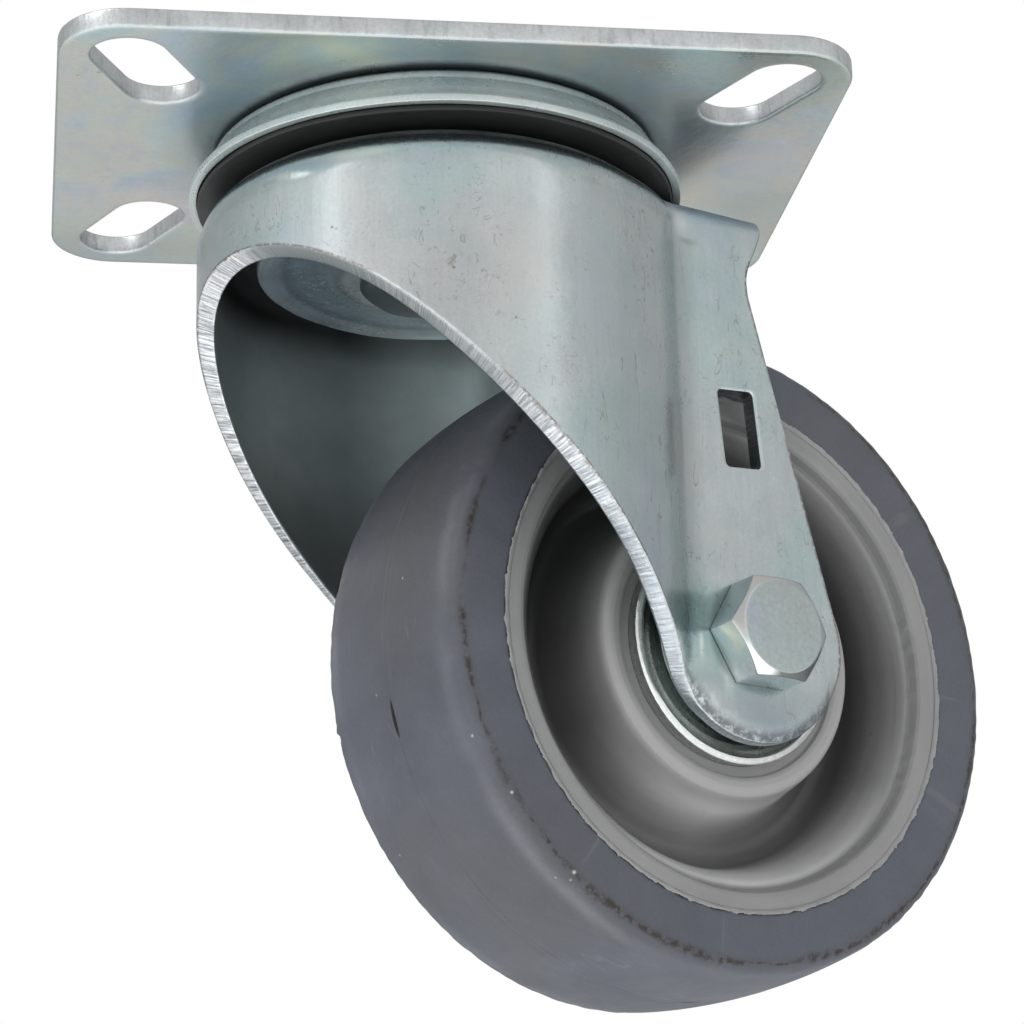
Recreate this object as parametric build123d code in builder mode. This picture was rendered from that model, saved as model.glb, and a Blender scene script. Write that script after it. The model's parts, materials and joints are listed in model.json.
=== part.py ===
from build123d import *
from math import asin, cos, degrees, pi, radians, sin, sqrt
import os

# Swivel castor, top plate fixing, double ball swivel head, ball bearing wheel.
# Millimetres.  The origin is the centre of the plate's top face, +Z is up, the
# plate's long side runs along X.  The fork is turned about Z by fork_turn.

os.makedirs("parts", exist_ok=True)

# ---------------------------------------------------------------- dimensions
# top plate
plate_length = 115.0
plate_width = 85.0
plate_thk = 3.0
plate_corner_r = 10.0
slot_x = 44.9            # slot centre from the plate centre, along the length
slot_y = 28.2            # slot centre from the plate centre, across
slot_width = 11.0
slot_centres = 10.8      # distance between the two end centres of a slot
slot_angle = 63.0        # slot direction from the plate length

# swivel head
pin_r = 6.0
pin_head_r = 11.5
race_sheet = 1.8
cup_r = 37.35            # outside of the upper race at its lip
cup_lip_z = -9.95
seal_r = 36.0
seal_in_r = 28.4
seal_bottom_z = -10.7
upper_ball_d = 7.144
upper_ball_pitch_r = 25.0
upper_ball_z = -7.9
upper_ball_n = 20
lower_ball_d = 6.35
lower_ball_pitch_r = 20.0
lower_ball_z = -16.4
lower_ball_n = 18
lower_race_r = 27.0
lower_race_top_z = -19.0
lower_race_edge_z = -21.2
neck_r = 8.0
race_gap = 0.045         # running clearance between a ball and its groove

# fork
fork_turn = 25.52        # degrees about Z, from the plate length to the trail
sheet = 2.8
crown_z = -11.0          # top of the crown
skirt_r = 36.0           # outside of the round front skirt
front_bend_r = 8.0       # outside bend between crown and skirt
rear_bend_r = 4.0        # outside bend between crown and legs
leg_y = 24.16            # outside face of a leg
valley_r = 8.0           # outside blend from skirt to leg
crown_rear_x = 44.0
crown_hole_r = 11.5
trail = 39.0
axle_z = -79.0
leg_end_r = 15.7
axle_hole_r = 5.1

# wheel
wheel_r = 49.5
wheel_half = 17.7
hub_r = 39.5
cup_bore_r = 17.5
bore_depth = 8.5
hub_bore_r = 14.0

# wheel bearings and axle
wb_ball_d = 6.35
wb_pitch_r = 12.0
wb_offset = 13.5
wb_ball_n = 11
bolt_r = 5.0
bolt_af = 15.0
bolt_head_h = 6.4
bolt_tail = 36.5
nut_hex_h = 8.0
nut_h = 10.2
sleeve_r = 6.0
sleeve_half = 19.9

# ---------------------------------------------------------------- planes
ca = cos(radians(fork_turn))
sa = sin(radians(fork_turn))
trail_dir = (ca, sa, 0)          # from the swivel axis to the wheel
axle_dir = (sa, -ca, 0)          # along the axle, towards the bolt head
axle_centre = (trail * ca, trail * sa, axle_z)

head_section = Plane.XZ
fork_plan = Plane(origin=(0, 0, 0), x_dir=trail_dir, z_dir=(0, 0, 1))
fork_side = Plane(origin=(0, 0, 0), x_dir=trail_dir, z_dir=axle_dir)
fork_back = Plane(origin=(0, 0, 0), x_dir=(-sa, ca, 0), z_dir=trail_dir)
axle_face = Plane(origin=axle_centre, x_dir=trail_dir, z_dir=axle_dir)
wheel_section = Plane(origin=axle_centre, x_dir=axle_dir, z_dir=(-ca, -sa, 0))
axle_axis = Axis(axle_centre, axle_dir)


def ring_places(n, r):
    return [(r * cos(2 * pi * i / n), r * sin(2 * pi * i / n)) for i in range(n)]


# ---------------------------------------------------------------- top plate
slot_places = [
    (slot_x, slot_y, slot_angle),
    (slot_x, -slot_y, -slot_angle),
    (-slot_x, slot_y, 180 - slot_angle),
    (-slot_x, -slot_y, 180 + slot_angle),
]
with BuildPart() as top_plate:
    with BuildSketch(Plane.XY.offset(-plate_thk)):
        RectangleRounded(plate_length, plate_width, plate_corner_r)
        Circle(pin_r, mode=Mode.SUBTRACT)
        for sx, sy, ang in slot_places:
            with Locations((sx, sy)):
                SlotCenterToCenter(slot_centres, slot_width, rotation=ang,
                                   mode=Mode.SUBTRACT)
    extrude(amount=plate_thk)
    # seat for the riveted end of the king pin
    with BuildSketch(head_section):
        with BuildLine():
            Polyline((0, 0.2), (7.6, 0.2), (7.4, 0), (pin_r, -1.4), (0, -1.4),
                     close=True)
        make_face()
    revolve(axis=Axis.Z, mode=Mode.SUBTRACT)
    # rolled edges of the sheet, top and bottom
    rim = top_plate.faces().sort_by(Axis.Z)[-1].outer_wire().edges()
    chamfer(rim, length=0.35)
    rim = top_plate.faces().sort_by(Axis.Z)[0].outer_wire().edges()
    chamfer(rim, length=0.35)

# ---------------------------------------------------------------- upper race
with BuildPart() as upper_race:
    with BuildSketch(head_section):
        with BuildLine():
            Polyline(
                (pin_r, -plate_thk), (33.0, -plate_thk), (33.7, -3.6),
                (34.0, -4.7), (37.25, -8.7), (cup_r, -9.0),
                (cup_r, cup_lip_z), (36.1, cup_lip_z), (35.95, -9.1),
                (32.9, -5.3), (32.2, -plate_thk - race_sheet),
                (pin_r, -plate_thk - race_sheet), close=True)
        make_face()
    revolve(axis=Axis.Z)
    # ball track
    with BuildSketch(head_section):
        with Locations((upper_ball_pitch_r, upper_ball_z)):
            Circle(upper_ball_d / 2 + race_gap)
    revolve(axis=Axis.Z, mode=Mode.SUBTRACT)

# ---------------------------------------------------------------- dust seal
# ring under the lip of the upper race, closed inwards up to the ball row
with BuildPart() as dust_seal:
    with BuildSketch(head_section):
        with BuildLine():
            Polyline(
                (seal_in_r, -10.3), (30.5, -9.9), (32.6, -9.3), (34.6, -8.3),
                (35.8, -9.3), (35.95, cup_lip_z - 0.05), (seal_r, cup_lip_z - 0.1),
                (seal_r, seal_bottom_z + 0.15), (seal_r - 0.15, seal_bottom_z),
                (seal_in_r, seal_bottom_z), close=True)
        make_face()
    revolve(axis=Axis.Z)

# ---------------------------------------------------------------- lower race
with BuildPart() as lower_race:
    with BuildSketch(head_section):
        with BuildLine():
            Polyline(
                (pin_r, -plate_thk - race_sheet), (neck_r, -plate_thk - race_sheet),
                (neck_r, -17.9), (9.1, lower_race_top_z),
                (26.3, lower_race_top_z), (lower_race_r, -19.7),
                (lower_race_r, lower_race_edge_z + 0.3), (26.7, lower_race_edge_z),
                (25.0, lower_race_edge_z), (23.6, -20.85), (22.2, -20.9),
                (16.4, -21.25), (14.8, -22.2), (pin_r, -22.2), close=True)
        make_face()
    revolve(axis=Axis.Z)
    with BuildSketch(head_section):
        with Locations((lower_ball_pitch_r, lower_ball_z)):
            Circle(lower_ball_d / 2 + race_gap)
    revolve(axis=Axis.Z, mode=Mode.SUBTRACT)

# ---------------------------------------------------------------- king pin
# headed below the lower race, riveted over flush in the plate
with BuildPart() as king_pin:
    with BuildSketch(head_section):
        with BuildLine():
            Polyline((0, 0), (7.4, 0), (pin_r, -1.4), (pin_r, -22.2),
                     (pin_head_r, -22.2), (pin_head_r, -23.3), (10.6, -24.2),
                     (8.0, -24.8), (0, -25.1), close=True)
        make_face()
    revolve(axis=Axis.Z)

# ---------------------------------------------------------------- swivel balls
with BuildPart() as upper_balls:
    with Locations(*[(x, y, upper_ball_z)
                     for x, y in ring_places(upper_ball_n, upper_ball_pitch_r)]):
        Sphere(upper_ball_d / 2)

with BuildPart() as lower_balls:
    with Locations(*[(x, y, lower_ball_z)
                     for x, y in ring_places(lower_ball_n, lower_ball_pitch_r)]):
        Sphere(lower_ball_d / 2)


# ---------------------------------------------------------------- fork
# The fork is one pressing: a round skirt at the front, flat legs at the rear.
# Its outside and its inside are the same form, one sheet thickness apart.
def plan_outline(inset):
    """Corner points of the plan outline of the pressing, one side (+y)."""
    r = skirt_r - inset
    y = leg_y - inset
    rv = valley_r + inset
    cy = leg_y + valley_r
    cx = sqrt((skirt_r + valley_r) ** 2 - cy ** 2)
    k = r / (skirt_r + valley_r)
    a = (cx, y)                                  # leg meets the valley
    c = (cx * k, cy * k)                         # valley meets the skirt
    mx, my = (a[0] + c[0]) / 2 - cx, (a[1] + c[1]) / 2 - cy
    m = sqrt(mx * mx + my * my)
    b = (cx + rv * mx / m, cy + rv * my / m)     # middle of the valley
    return a, b, c, r, y


def dome_section(inset, bottom):
    """Half section of the round front: flat crown, bend, straight skirt."""
    r = skirt_r - inset
    top = crown_z - inset
    rb = front_bend_r - inset
    q = rb * sin(radians(45))
    return [(0, top), (r - rb, top), (r - rb + q, top - rb + q), (r, top - rb),
            (r, bottom), (0, bottom)]


def rear_section(inset, bottom):
    """Section of the rear: flat crown, bends, straight legs."""
    y = leg_y - inset
    top = crown_z - inset
    rb = rear_bend_r - inset
    q = rb * sin(radians(45))
    return y, top, rb, q, bottom


low = -110.0

with BuildPart() as outer_form:
    p = dome_section(0.0, low)
    with BuildSketch(fork_side):
        with BuildLine():
            Line(p[0], p[1])
            ThreePointArc(p[1], p[2], p[3])
            Polyline(p[3], p[4], p[5], p[0])
        make_face()
    revolve(axis=Axis.Z)
    y, top, rb, q, bottom = rear_section(0.0, low)
    with BuildSketch(fork_back):
        with BuildLine():
            Line((y - rb, top), (-y + rb, top))
            ThreePointArc((-y + rb, top), (-y + rb - q, top - rb + q), (-y, top - rb))
            Polyline((-y, top - rb), (-y, bottom), (y, bottom), (y, top - rb))
            ThreePointArc((y, top - rb), (y - rb + q, top - rb + q), (y - rb, top))
        make_face()
    extrude(amount=crown_rear_x + 20)
    # blend between the round and the flat part
    with BuildSketch(fork_plan.offset(low)):
        with Locations((27.5, 0)):
            Rectangle(9.0, 2 * 26.6)
    extrude(amount=-low - 16.6)
    a, b, c, r, y = plan_outline(0.0)
    with BuildSketch(fork_plan.offset(low)):
        with BuildLine():
            Line((crown_rear_x + 15, -y), (a[0], -a[1]))
            ThreePointArc((a[0], -a[1]), (b[0], -b[1]), (c[0], -c[1]))
            ThreePointArc((c[0], -c[1]), (-r, 0), c)
            ThreePointArc(c, b, a)
            Line(a, (crown_rear_x + 15, y))
            Line((crown_rear_x + 15, y), (crown_rear_x + 15, -y))
        make_face()
    extrude(amount=-low, mode=Mode.INTERSECT)

with BuildPart() as inner_form:
    p = dome_section(sheet, low)
    with BuildSketch(fork_side):
        with BuildLine():
            Line(p[0], p[1])
            ThreePointArc(p[1], p[2], p[3])
            Polyline(p[3], p[4], p[5], p[0])
        make_face()
    revolve(axis=Axis.Z)
    y, top, rb, q, bottom = rear_section(sheet, low)
    with BuildSketch(fork_back):
        with BuildLine():
            Line((y - rb, top), (-y + rb, top))
            ThreePointArc((-y + rb, top), (-y + rb - q, top - rb + q), (-y, top - rb))
            Polyline((-y, top - rb), (-y, bottom), (y, bottom), (y, top - rb))
            ThreePointArc((y, top - rb), (y - rb + q, top - rb + q), (y - rb, top))
        make_face()
    extrude(amount=crown_rear_x + 20)
    with BuildSketch(fork_plan.offset(low)):
        with Locations((26.0, 0)):
            Rectangle(9.0, 2 * 23.6)
    extrude(amount=-low - 18.4)
    a, b, c, r, y = plan_outline(sheet)
    with BuildSketch(fork_plan.offset(low)):
        with BuildLine():
            Line((crown_rear_x + 18, -y), (a[0], -a[1]))
            ThreePointArc((a[0], -a[1]), (b[0], -b[1]), (c[0], -c[1]))
            ThreePointArc((c[0], -c[1]), (-r, 0), c)
            ThreePointArc(c, b, a)
            Line(a, (crown_rear_x + 18, y))
            Line((crown_rear_x + 18, y), (crown_rear_x + 18, -y))
        make_face()
    extrude(amount=-low, mode=Mode.INTERSECT)

# rear edge of a leg: straight, tangent to the round end about the axle
rear_slope = 0.272
norm = sqrt(1 + rear_slope ** 2)
rear_tan = (trail + leg_end_r / norm, axle_z + leg_end_r * rear_slope / norm)
rear_top_z = -24.0
rear_top = (rear_tan[0] - rear_slope * (rear_top_z - rear_tan[1]), rear_top_z)
# front edge of the pressing: a long slanting cut from the nose to the leg end
front_edge = [(-38.0, -25.0), (-36.0, -26.8), (-32.6, -29.95), (-22.4, -39.8),
              (-11.6, -50.5), (0.2, -61.4), (7.2, -68.0), (13.4, -74.3),
              (19.0, -80.7), (22.6, -84.9)]
front_tan_a = radians(224)
front_tan = (trail + leg_end_r * cos(front_tan_a), axle_z + leg_end_r * sin(front_tan_a))

with BuildPart() as fork:
    add(outer_form.part)
    add(inner_form.part, mode=Mode.SUBTRACT)
    # side outline
    with BuildSketch(fork_side.offset(-60)):
        with BuildLine():
            Spline(*front_edge, front_tan,
                   tangents=[(1, -0.9), (1, -1.035)])
            ThreePointArc(front_tan, (trail, axle_z - leg_end_r), rear_tan)
            Line(rear_tan, rear_top)
            Spline(rear_top, (41.0, -20.3), (42.5, -17.0), (crown_rear_x, -11.6),
                   tangents=[(-rear_slope, 1), (0.1, 1)])
            Polyline((crown_rear_x, -11.6), (crown_rear_x, -8), (-38.0, -8),
                     front_edge[0])
        make_face()
    extrude(amount=120, mode=Mode.INTERSECT)
    # swivel bore through the crown and the two ball tracks
    with BuildSketch(fork_plan.offset(-20)):
        Circle(crown_hole_r)
    extrude(amount=15, mode=Mode.SUBTRACT)
    with BuildSketch(fork_side):
        with Locations((upper_ball_pitch_r, upper_ball_z)):
            Circle(upper_ball_d / 2 + race_gap)
        with Locations((lower_ball_pitch_r, lower_ball_z)):
            Circle(lower_ball_d / 2 + race_gap)
    revolve(axis=Axis.Z, mode=Mode.SUBTRACT)
    # axle holes and the rectangular window in both legs
    with BuildSketch(fork_side.offset(-40)):
        with Locations((trail, axle_z)):
            Circle(axle_hole_r)
    extrude(amount=80, mode=Mode.SUBTRACT)
    with BuildSketch(fork_side.offset(-40)):
        with Locations((37.7, -46.8)):
            RectangleRounded(6.5, 12.0, 0.6, rotation=5.2)
    extrude(amount=80, mode=Mode.SUBTRACT)

# ---------------------------------------------------------------- axle bolt
with BuildPart() as axle_bolt:
    with BuildSketch(axle_face.offset(leg_y)):
        RegularPolygon(bolt_af / 2, 6, major_radius=False)
    extrude(amount=bolt_head_h)
    # chamfered crown of the head
    with BuildSketch(wheel_section):
        with BuildLine():
            Polyline((leg_y - 1, 0), (leg_y - 1, 12), (leg_y + bolt_head_h - 1.15, 12),
                     (leg_y + bolt_head_h - 1.15, 9.1), (leg_y + bolt_head_h - 0.12, 7.25),
                     (leg_y + bolt_head_h, 7.0), (leg_y + bolt_head_h, 0), close=True)
        make_face()
    revolve(axis=axle_axis, mode=Mode.INTERSECT)
    with BuildSketch(wheel_section):
        with BuildLine():
            Polyline((leg_y + 0.5, 0), (leg_y + 0.5, bolt_r), (-bolt_tail + 1.0, bolt_r),
                     (-bolt_tail, bolt_r - 1.0), (-bolt_tail, 0), close=True)
        make_face()
    revolve(axis=axle_axis)

# ---------------------------------------------------------------- lock nut
with BuildPart() as lock_nut:
    with BuildSketch(axle_face.offset(-leg_y - nut_h)):
        RegularPolygon(bolt_af / 2, 6, major_radius=False)
    extrude(amount=nut_h)
    with BuildSketch(wheel_section):
        with BuildLine():
            Polyline((-leg_y, 0), (-leg_y, 7.4), (-leg_y - 0.9, 9.0),
                     (-leg_y - nut_hex_h + 0.7, 9.0), (-leg_y - nut_hex_h, 7.3),
                     (-leg_y - nut_h + 0.6, 7.0), (-leg_y - nut_h, 6.4),
                     (-leg_y - nut_h, 0), close=True)
        make_face()
    revolve(axis=axle_axis, mode=Mode.INTERSECT)
    # bore, and the counterbore that holds the locking ring
    with BuildSketch(wheel_section):
        with BuildLine():
            Polyline((-leg_y + 1, 0), (-leg_y + 1, bolt_r), (-leg_y - 7.0, bolt_r),
                     (-leg_y - 7.0, 6.2), (-leg_y - 9.4, 6.2), (-leg_y - 9.4, 5.7),
                     (-leg_y - nut_h - 1, 5.7), (-leg_y - nut_h - 1, 0), close=True)
        make_face()
    revolve(axis=axle_axis, mode=Mode.SUBTRACT)

with BuildPart() as lock_ring:
    with BuildSketch(wheel_section):
        with BuildLine():
            Polyline((-leg_y - 7.0, bolt_r), (-leg_y - 7.0, 6.2),
                     (-leg_y - 9.4, 6.2), (-leg_y - 9.4, bolt_r), close=True)
        make_face()
    revolve(axis=axle_axis)

# ---------------------------------------------------------------- axle sleeve
with BuildPart() as axle_sleeve:
    with BuildSketch(axle_face.offset(-sleeve_half)):
        Circle(sleeve_r)
        Circle(axle_hole_r, mode=Mode.SUBTRACT)
    extrude(amount=2 * sleeve_half)

# ---------------------------------------------------------------- cones, covers
cone_points = [(9.6, sleeve_r), (9.6, 9.0), (13.5, 9.4), (16.8, 10.2),
               (sleeve_half, 10.2), (sleeve_half, sleeve_r)]
cover_points = [(sleeve_half, axle_hole_r), (sleeve_half, 10.6), (19.65, 14.2),
                (19.65, 14.55), (20.15, 14.55), (leg_y - sheet, 11.8),
                (leg_y - sheet, axle_hole_r)]
# the cup ends in a shield over the balls, inside the flared lip
cup_points = [(bore_depth, 12.6), (10.2, 13.2), (13.5, 14.6), (16.1, 14.6),
              (16.75, 13.9), (16.85, 13.0), (16.85, 11.2), (17.2, 11.2),
              (17.2, 13.4), (17.35, 14.5), (17.8, 15.5), (18.35, 16.15),
              (18.75, 16.45), (19.0, 16.6), (19.1, 16.85),
              (19.1, 17.1), (18.95, 17.5), (18.6, 17.8), (18.1, 17.8),
              (17.7, cup_bore_r), (bore_depth, cup_bore_r)]


def mirrored(points, side):
    return [(side * d, r) for d, r in points]


with BuildPart() as bearing_cone_a:
    with BuildSketch(wheel_section):
        with BuildLine():
            Polyline(*mirrored(cone_points, 1), close=True)
        make_face()
    revolve(axis=axle_axis)
    with BuildSketch(wheel_section):
        with Locations((wb_offset, wb_pitch_r)):
            Circle(wb_ball_d / 2 + race_gap)
    revolve(axis=axle_axis, mode=Mode.SUBTRACT)

with BuildPart() as bearing_cone_b:
    with BuildSketch(wheel_section):
        with BuildLine():
            Polyline(*mirrored(cone_points, -1), close=True)
        make_face()
    revolve(axis=axle_axis)
    with BuildSketch(wheel_section):
        with Locations((-wb_offset, wb_pitch_r)):
            Circle(wb_ball_d / 2 + race_gap)
    revolve(axis=axle_axis, mode=Mode.SUBTRACT)

with BuildPart() as bearing_cover_a:
    with BuildSketch(wheel_section):
        with BuildLine():
            Polyline(*mirrored(cover_points, 1), close=True)
        make_face()
    revolve(axis=axle_axis)

with BuildPart() as bearing_cover_b:
    with BuildSketch(wheel_section):
        with BuildLine():
            Polyline(*mirrored(cover_points, -1), close=True)
        make_face()
    revolve(axis=axle_axis)

with BuildPart() as bearing_cup_a:
    with BuildSketch(wheel_section):
        with BuildLine():
            Polyline(*mirrored(cup_points, 1), close=True)
        make_face()
    revolve(axis=axle_axis)
    with BuildSketch(wheel_section):
        with Locations((wb_offset, wb_pitch_r)):
            Circle(wb_ball_d / 2 + race_gap)
    revolve(axis=axle_axis, mode=Mode.SUBTRACT)

with BuildPart() as bearing_cup_b:
    with BuildSketch(wheel_section):
        with BuildLine():
            Polyline(*mirrored(cup_points, -1), close=True)
        make_face()
    revolve(axis=axle_axis)
    with BuildSketch(wheel_section):
        with Locations((-wb_offset, wb_pitch_r)):
            Circle(wb_ball_d / 2 + race_gap)
    revolve(axis=axle_axis, mode=Mode.SUBTRACT)

# ---------------------------------------------------------------- wheel balls
with BuildPart() as wheel_balls_a:
    with Locations(axle_face.offset(wb_offset)):
        with Locations(*[(x, y, 0) for x, y in ring_places(wb_ball_n, wb_pitch_r)]):
            Sphere(wb_ball_d / 2)

with BuildPart() as wheel_balls_b:
    with Locations(axle_face.offset(-wb_offset)):
        with Locations(*[(x, y, 0) for x, y in ring_places(wb_ball_n, wb_pitch_r)]):
            Sphere(wb_ball_d / 2)

# ---------------------------------------------------------------- hub
# moulded hub: flanged rim, dished web, bored boss; the same on both sides
with BuildPart() as hub:
    with BuildSketch(wheel_section):
        with BuildLine():
            Polyline((0, hub_bore_r), (bore_depth, hub_bore_r),
                     (bore_depth, cup_bore_r), (16.4, cup_bore_r),
                     (16.6, 19.25), (17.2, 19.45), (17.5, 20.1),
                     (wheel_half, 20.9), (17.5, 21.6), (16.9, 22.15))
            Spline((16.9, 22.15), (15.9, 22.6), (14.0, 23.0), (11.0, 23.6),
                   (8.0, 24.3), (6.0, 25.0), (4.6, 26.0), (3.8, 27.6),
                   (4.3, 29.3), (5.8, 30.5), (8.0, 31.1), (10.5, 31.8),
                   (12.6, 32.7), (13.9, 33.6), (14.9, 34.5))
            Polyline((14.9, 34.5), (15.4, 35.45), (15.9, 35.75), (16.95, 36.15),
                     (17.4, 36.5), (17.6, 37.1), (17.6, hub_r), (0, hub_r),
                     (0, hub_bore_r))
        make_face()
        mirror(about=Plane.YZ)
    revolve(axis=axle_axis)

# ---------------------------------------------------------------- tyre
with BuildPart() as tyre:
    with BuildSketch(wheel_section):
        with BuildLine():
            Polyline((-wheel_half, 46.4), (-wheel_half, hub_r),
                     (wheel_half, hub_r), (wheel_half, 46.4))
            ThreePointArc((wheel_half, 46.4), (17.15, 47.75), (15.9, 48.4))
            ThreePointArc((15.9, 48.4), (0, wheel_r), (-15.9, 48.4))
            ThreePointArc((-15.9, 48.4), (-17.15, 47.75), (-wheel_half, 46.4))
        make_face()
    revolve(axis=axle_axis)

# ---------------------------------------------------------------- export
top_plate.part.label = "top_plate"
export_step(top_plate.part, "parts/top_plate.step")
upper_race.part.label = "upper_race"
export_step(upper_race.part, "parts/upper_race.step")
dust_seal.part.label = "dust_seal"
export_step(dust_seal.part, "parts/dust_seal.step")
lower_race.part.label = "lower_race"
export_step(lower_race.part, "parts/lower_race.step")
king_pin.part.label = "king_pin"
export_step(king_pin.part, "parts/king_pin.step")
upper_balls.part.label = "upper_balls"
export_step(upper_balls.part, "parts/upper_balls.step")
lower_balls.part.label = "lower_balls"
export_step(lower_balls.part, "parts/lower_balls.step")
fork.part.label = "fork"
export_step(fork.part, "parts/fork.step")
axle_bolt.part.label = "axle_bolt"
export_step(axle_bolt.part, "parts/axle_bolt.step")
lock_nut.part.label = "lock_nut"
export_step(lock_nut.part, "parts/lock_nut.step")
lock_ring.part.label = "lock_ring"
export_step(lock_ring.part, "parts/lock_ring.step")
axle_sleeve.part.label = "axle_sleeve"
export_step(axle_sleeve.part, "parts/axle_sleeve.step")
bearing_cone_a.part.label = "bearing_cone_a"
export_step(bearing_cone_a.part, "parts/bearing_cone_a.step")
bearing_cone_b.part.label = "bearing_cone_b"
export_step(bearing_cone_b.part, "parts/bearing_cone_b.step")
bearing_cover_a.part.label = "bearing_cover_a"
export_step(bearing_cover_a.part, "parts/bearing_cover_a.step")
bearing_cover_b.part.label = "bearing_cover_b"
export_step(bearing_cover_b.part, "parts/bearing_cover_b.step")
bearing_cup_a.part.label = "bearing_cup_a"
export_step(bearing_cup_a.part, "parts/bearing_cup_a.step")
bearing_cup_b.part.label = "bearing_cup_b"
export_step(bearing_cup_b.part, "parts/bearing_cup_b.step")
wheel_balls_a.part.label = "wheel_balls_a"
export_step(wheel_balls_a.part, "parts/wheel_balls_a.step")
wheel_balls_b.part.label = "wheel_balls_b"
export_step(wheel_balls_b.part, "parts/wheel_balls_b.step")
hub.part.label = "hub"
export_step(hub.part, "parts/hub.step")
tyre.part.label = "tyre"
export_step(tyre.part, "parts/tyre.step")
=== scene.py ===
import bpy
import bmesh
import json
import math
import random
import numpy as np
from mathutils import Matrix, Vector
from mathutils.bvhtree import BVHTree
from mathutils.kdtree import KDTree

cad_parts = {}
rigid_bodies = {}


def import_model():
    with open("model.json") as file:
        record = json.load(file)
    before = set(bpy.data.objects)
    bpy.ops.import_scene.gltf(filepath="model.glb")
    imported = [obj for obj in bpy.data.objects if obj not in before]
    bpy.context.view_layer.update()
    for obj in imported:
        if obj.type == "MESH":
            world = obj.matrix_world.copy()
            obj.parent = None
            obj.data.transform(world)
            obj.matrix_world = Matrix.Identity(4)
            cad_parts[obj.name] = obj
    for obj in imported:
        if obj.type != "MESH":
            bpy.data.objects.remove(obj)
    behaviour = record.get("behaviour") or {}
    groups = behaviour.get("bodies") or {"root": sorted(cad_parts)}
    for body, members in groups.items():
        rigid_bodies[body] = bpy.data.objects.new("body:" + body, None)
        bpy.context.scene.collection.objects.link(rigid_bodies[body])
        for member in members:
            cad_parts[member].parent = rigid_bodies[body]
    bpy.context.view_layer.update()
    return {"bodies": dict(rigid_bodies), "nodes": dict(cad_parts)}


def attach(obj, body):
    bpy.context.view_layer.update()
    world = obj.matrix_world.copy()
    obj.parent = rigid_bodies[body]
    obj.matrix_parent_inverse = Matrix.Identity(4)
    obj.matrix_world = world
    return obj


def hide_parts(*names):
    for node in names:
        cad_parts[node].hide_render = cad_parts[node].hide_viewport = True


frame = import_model()

MM = 0.001
TURN = math.radians(25.52)
CA, SA = math.cos(TURN), math.sin(TURN)
TRAIL = Vector((CA, SA, 0.0))          # swivel axis to wheel
AXLE = Vector((SA, -CA, 0.0))          # along the axle, towards the bolt head
UP = Vector((0.0, 0.0, 1.0))
HUB_C = TRAIL * 39.0 + UP * -79.0      # wheel centre, mm


# ------------------------------------------------------------------ mesh tools
def new_object(name, verts, faces, smooth=True):
    """verts in millimetres in the row frame."""
    me = bpy.data.meshes.new(name)
    me.from_pydata([tuple(c * MM for c in v) for v in verts], [], faces)
    me.validate()
    me.update()
    if smooth:
        me.polygons.foreach_set("use_smooth", [True] * len(me.polygons))
    ob = bpy.data.objects.new(name, me)
    bpy.context.scene.collection.objects.link(ob)
    return ob


def fix_normals(ob):
    bm = bmesh.new()
    bm.from_mesh(ob.data)
    bmesh.ops.recalc_face_normals(bm, faces=bm.faces[:])
    bm.to_mesh(ob.data)
    bm.free()
    return ob


def apply_modifiers(ob):
    dg = bpy.context.evaluated_depsgraph_get()
    dg.update()
    me = bpy.data.meshes.new_from_object(ob.evaluated_get(dg))
    old = ob.data
    ob.modifiers.clear()
    ob.data = me
    if old.users == 0:
        bpy.data.meshes.remove(old)
    return ob


def rounded(points, default=0.0, seg=4, closed=True):
    """Points (a, b) or (a, b, radius): replaces each corner by an arc."""
    out = []
    n = len(points)
    for i, p in enumerate(points):
        r = p[2] if len(p) > 2 else default
        P = np.array(p[:2], float)
        if r <= 0 or (not closed and i in (0, n - 1)):
            out.append(tuple(P))
            continue
        A = np.array(points[i - 1][:2], float)
        B = np.array(points[(i + 1) % n][:2], float)
        u = A - P
        v = B - P
        lu, lv = np.linalg.norm(u), np.linalg.norm(v)
        if lu < 1e-9 or lv < 1e-9:
            out.append(tuple(P))
            continue
        u /= lu
        v /= lv
        ang = math.acos(max(-1.0, min(1.0, float(u @ v))))
        if ang > math.pi - 0.02 or ang < 0.02:
            out.append(tuple(P))
            continue
        t = min(r / math.tan(ang / 2), 0.48 * lu, 0.48 * lv)
        rr = t * math.tan(ang / 2)
        bis = (u + v) / np.linalg.norm(u + v)
        C = P + bis * (rr / math.sin(ang / 2))
        s = P + u * t
        e = P + v * t
        a0 = math.atan2(*(s - C)[::-1])
        a1 = math.atan2(*(e - C)[::-1])
        d = (a1 - a0 + math.pi) % (2 * math.pi) - math.pi
        k = max(2, int(math.ceil(abs(d) / (math.pi / 2) * seg * 2)))
        for j in range(k + 1):
            a = a0 + d * j / k
            out.append((C[0] + rr * math.cos(a), C[1] + rr * math.sin(a)))
    return out


def subdivide(pts, step, closed=True):
    pts = [tuple(p[:2]) for p in pts]
    out = []
    n = len(pts)
    for i in range(n if closed else n - 1):
        a, b = np.array(pts[i]), np.array(pts[(i + 1) % n])
        L = np.linalg.norm(b - a)
        k = max(1, int(round(L / step)))
        for j in range(k):
            out.append(tuple(a + (b - a) * j / k))
    if not closed:
        out.append(tuple(pts[-1]))
    return out


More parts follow.
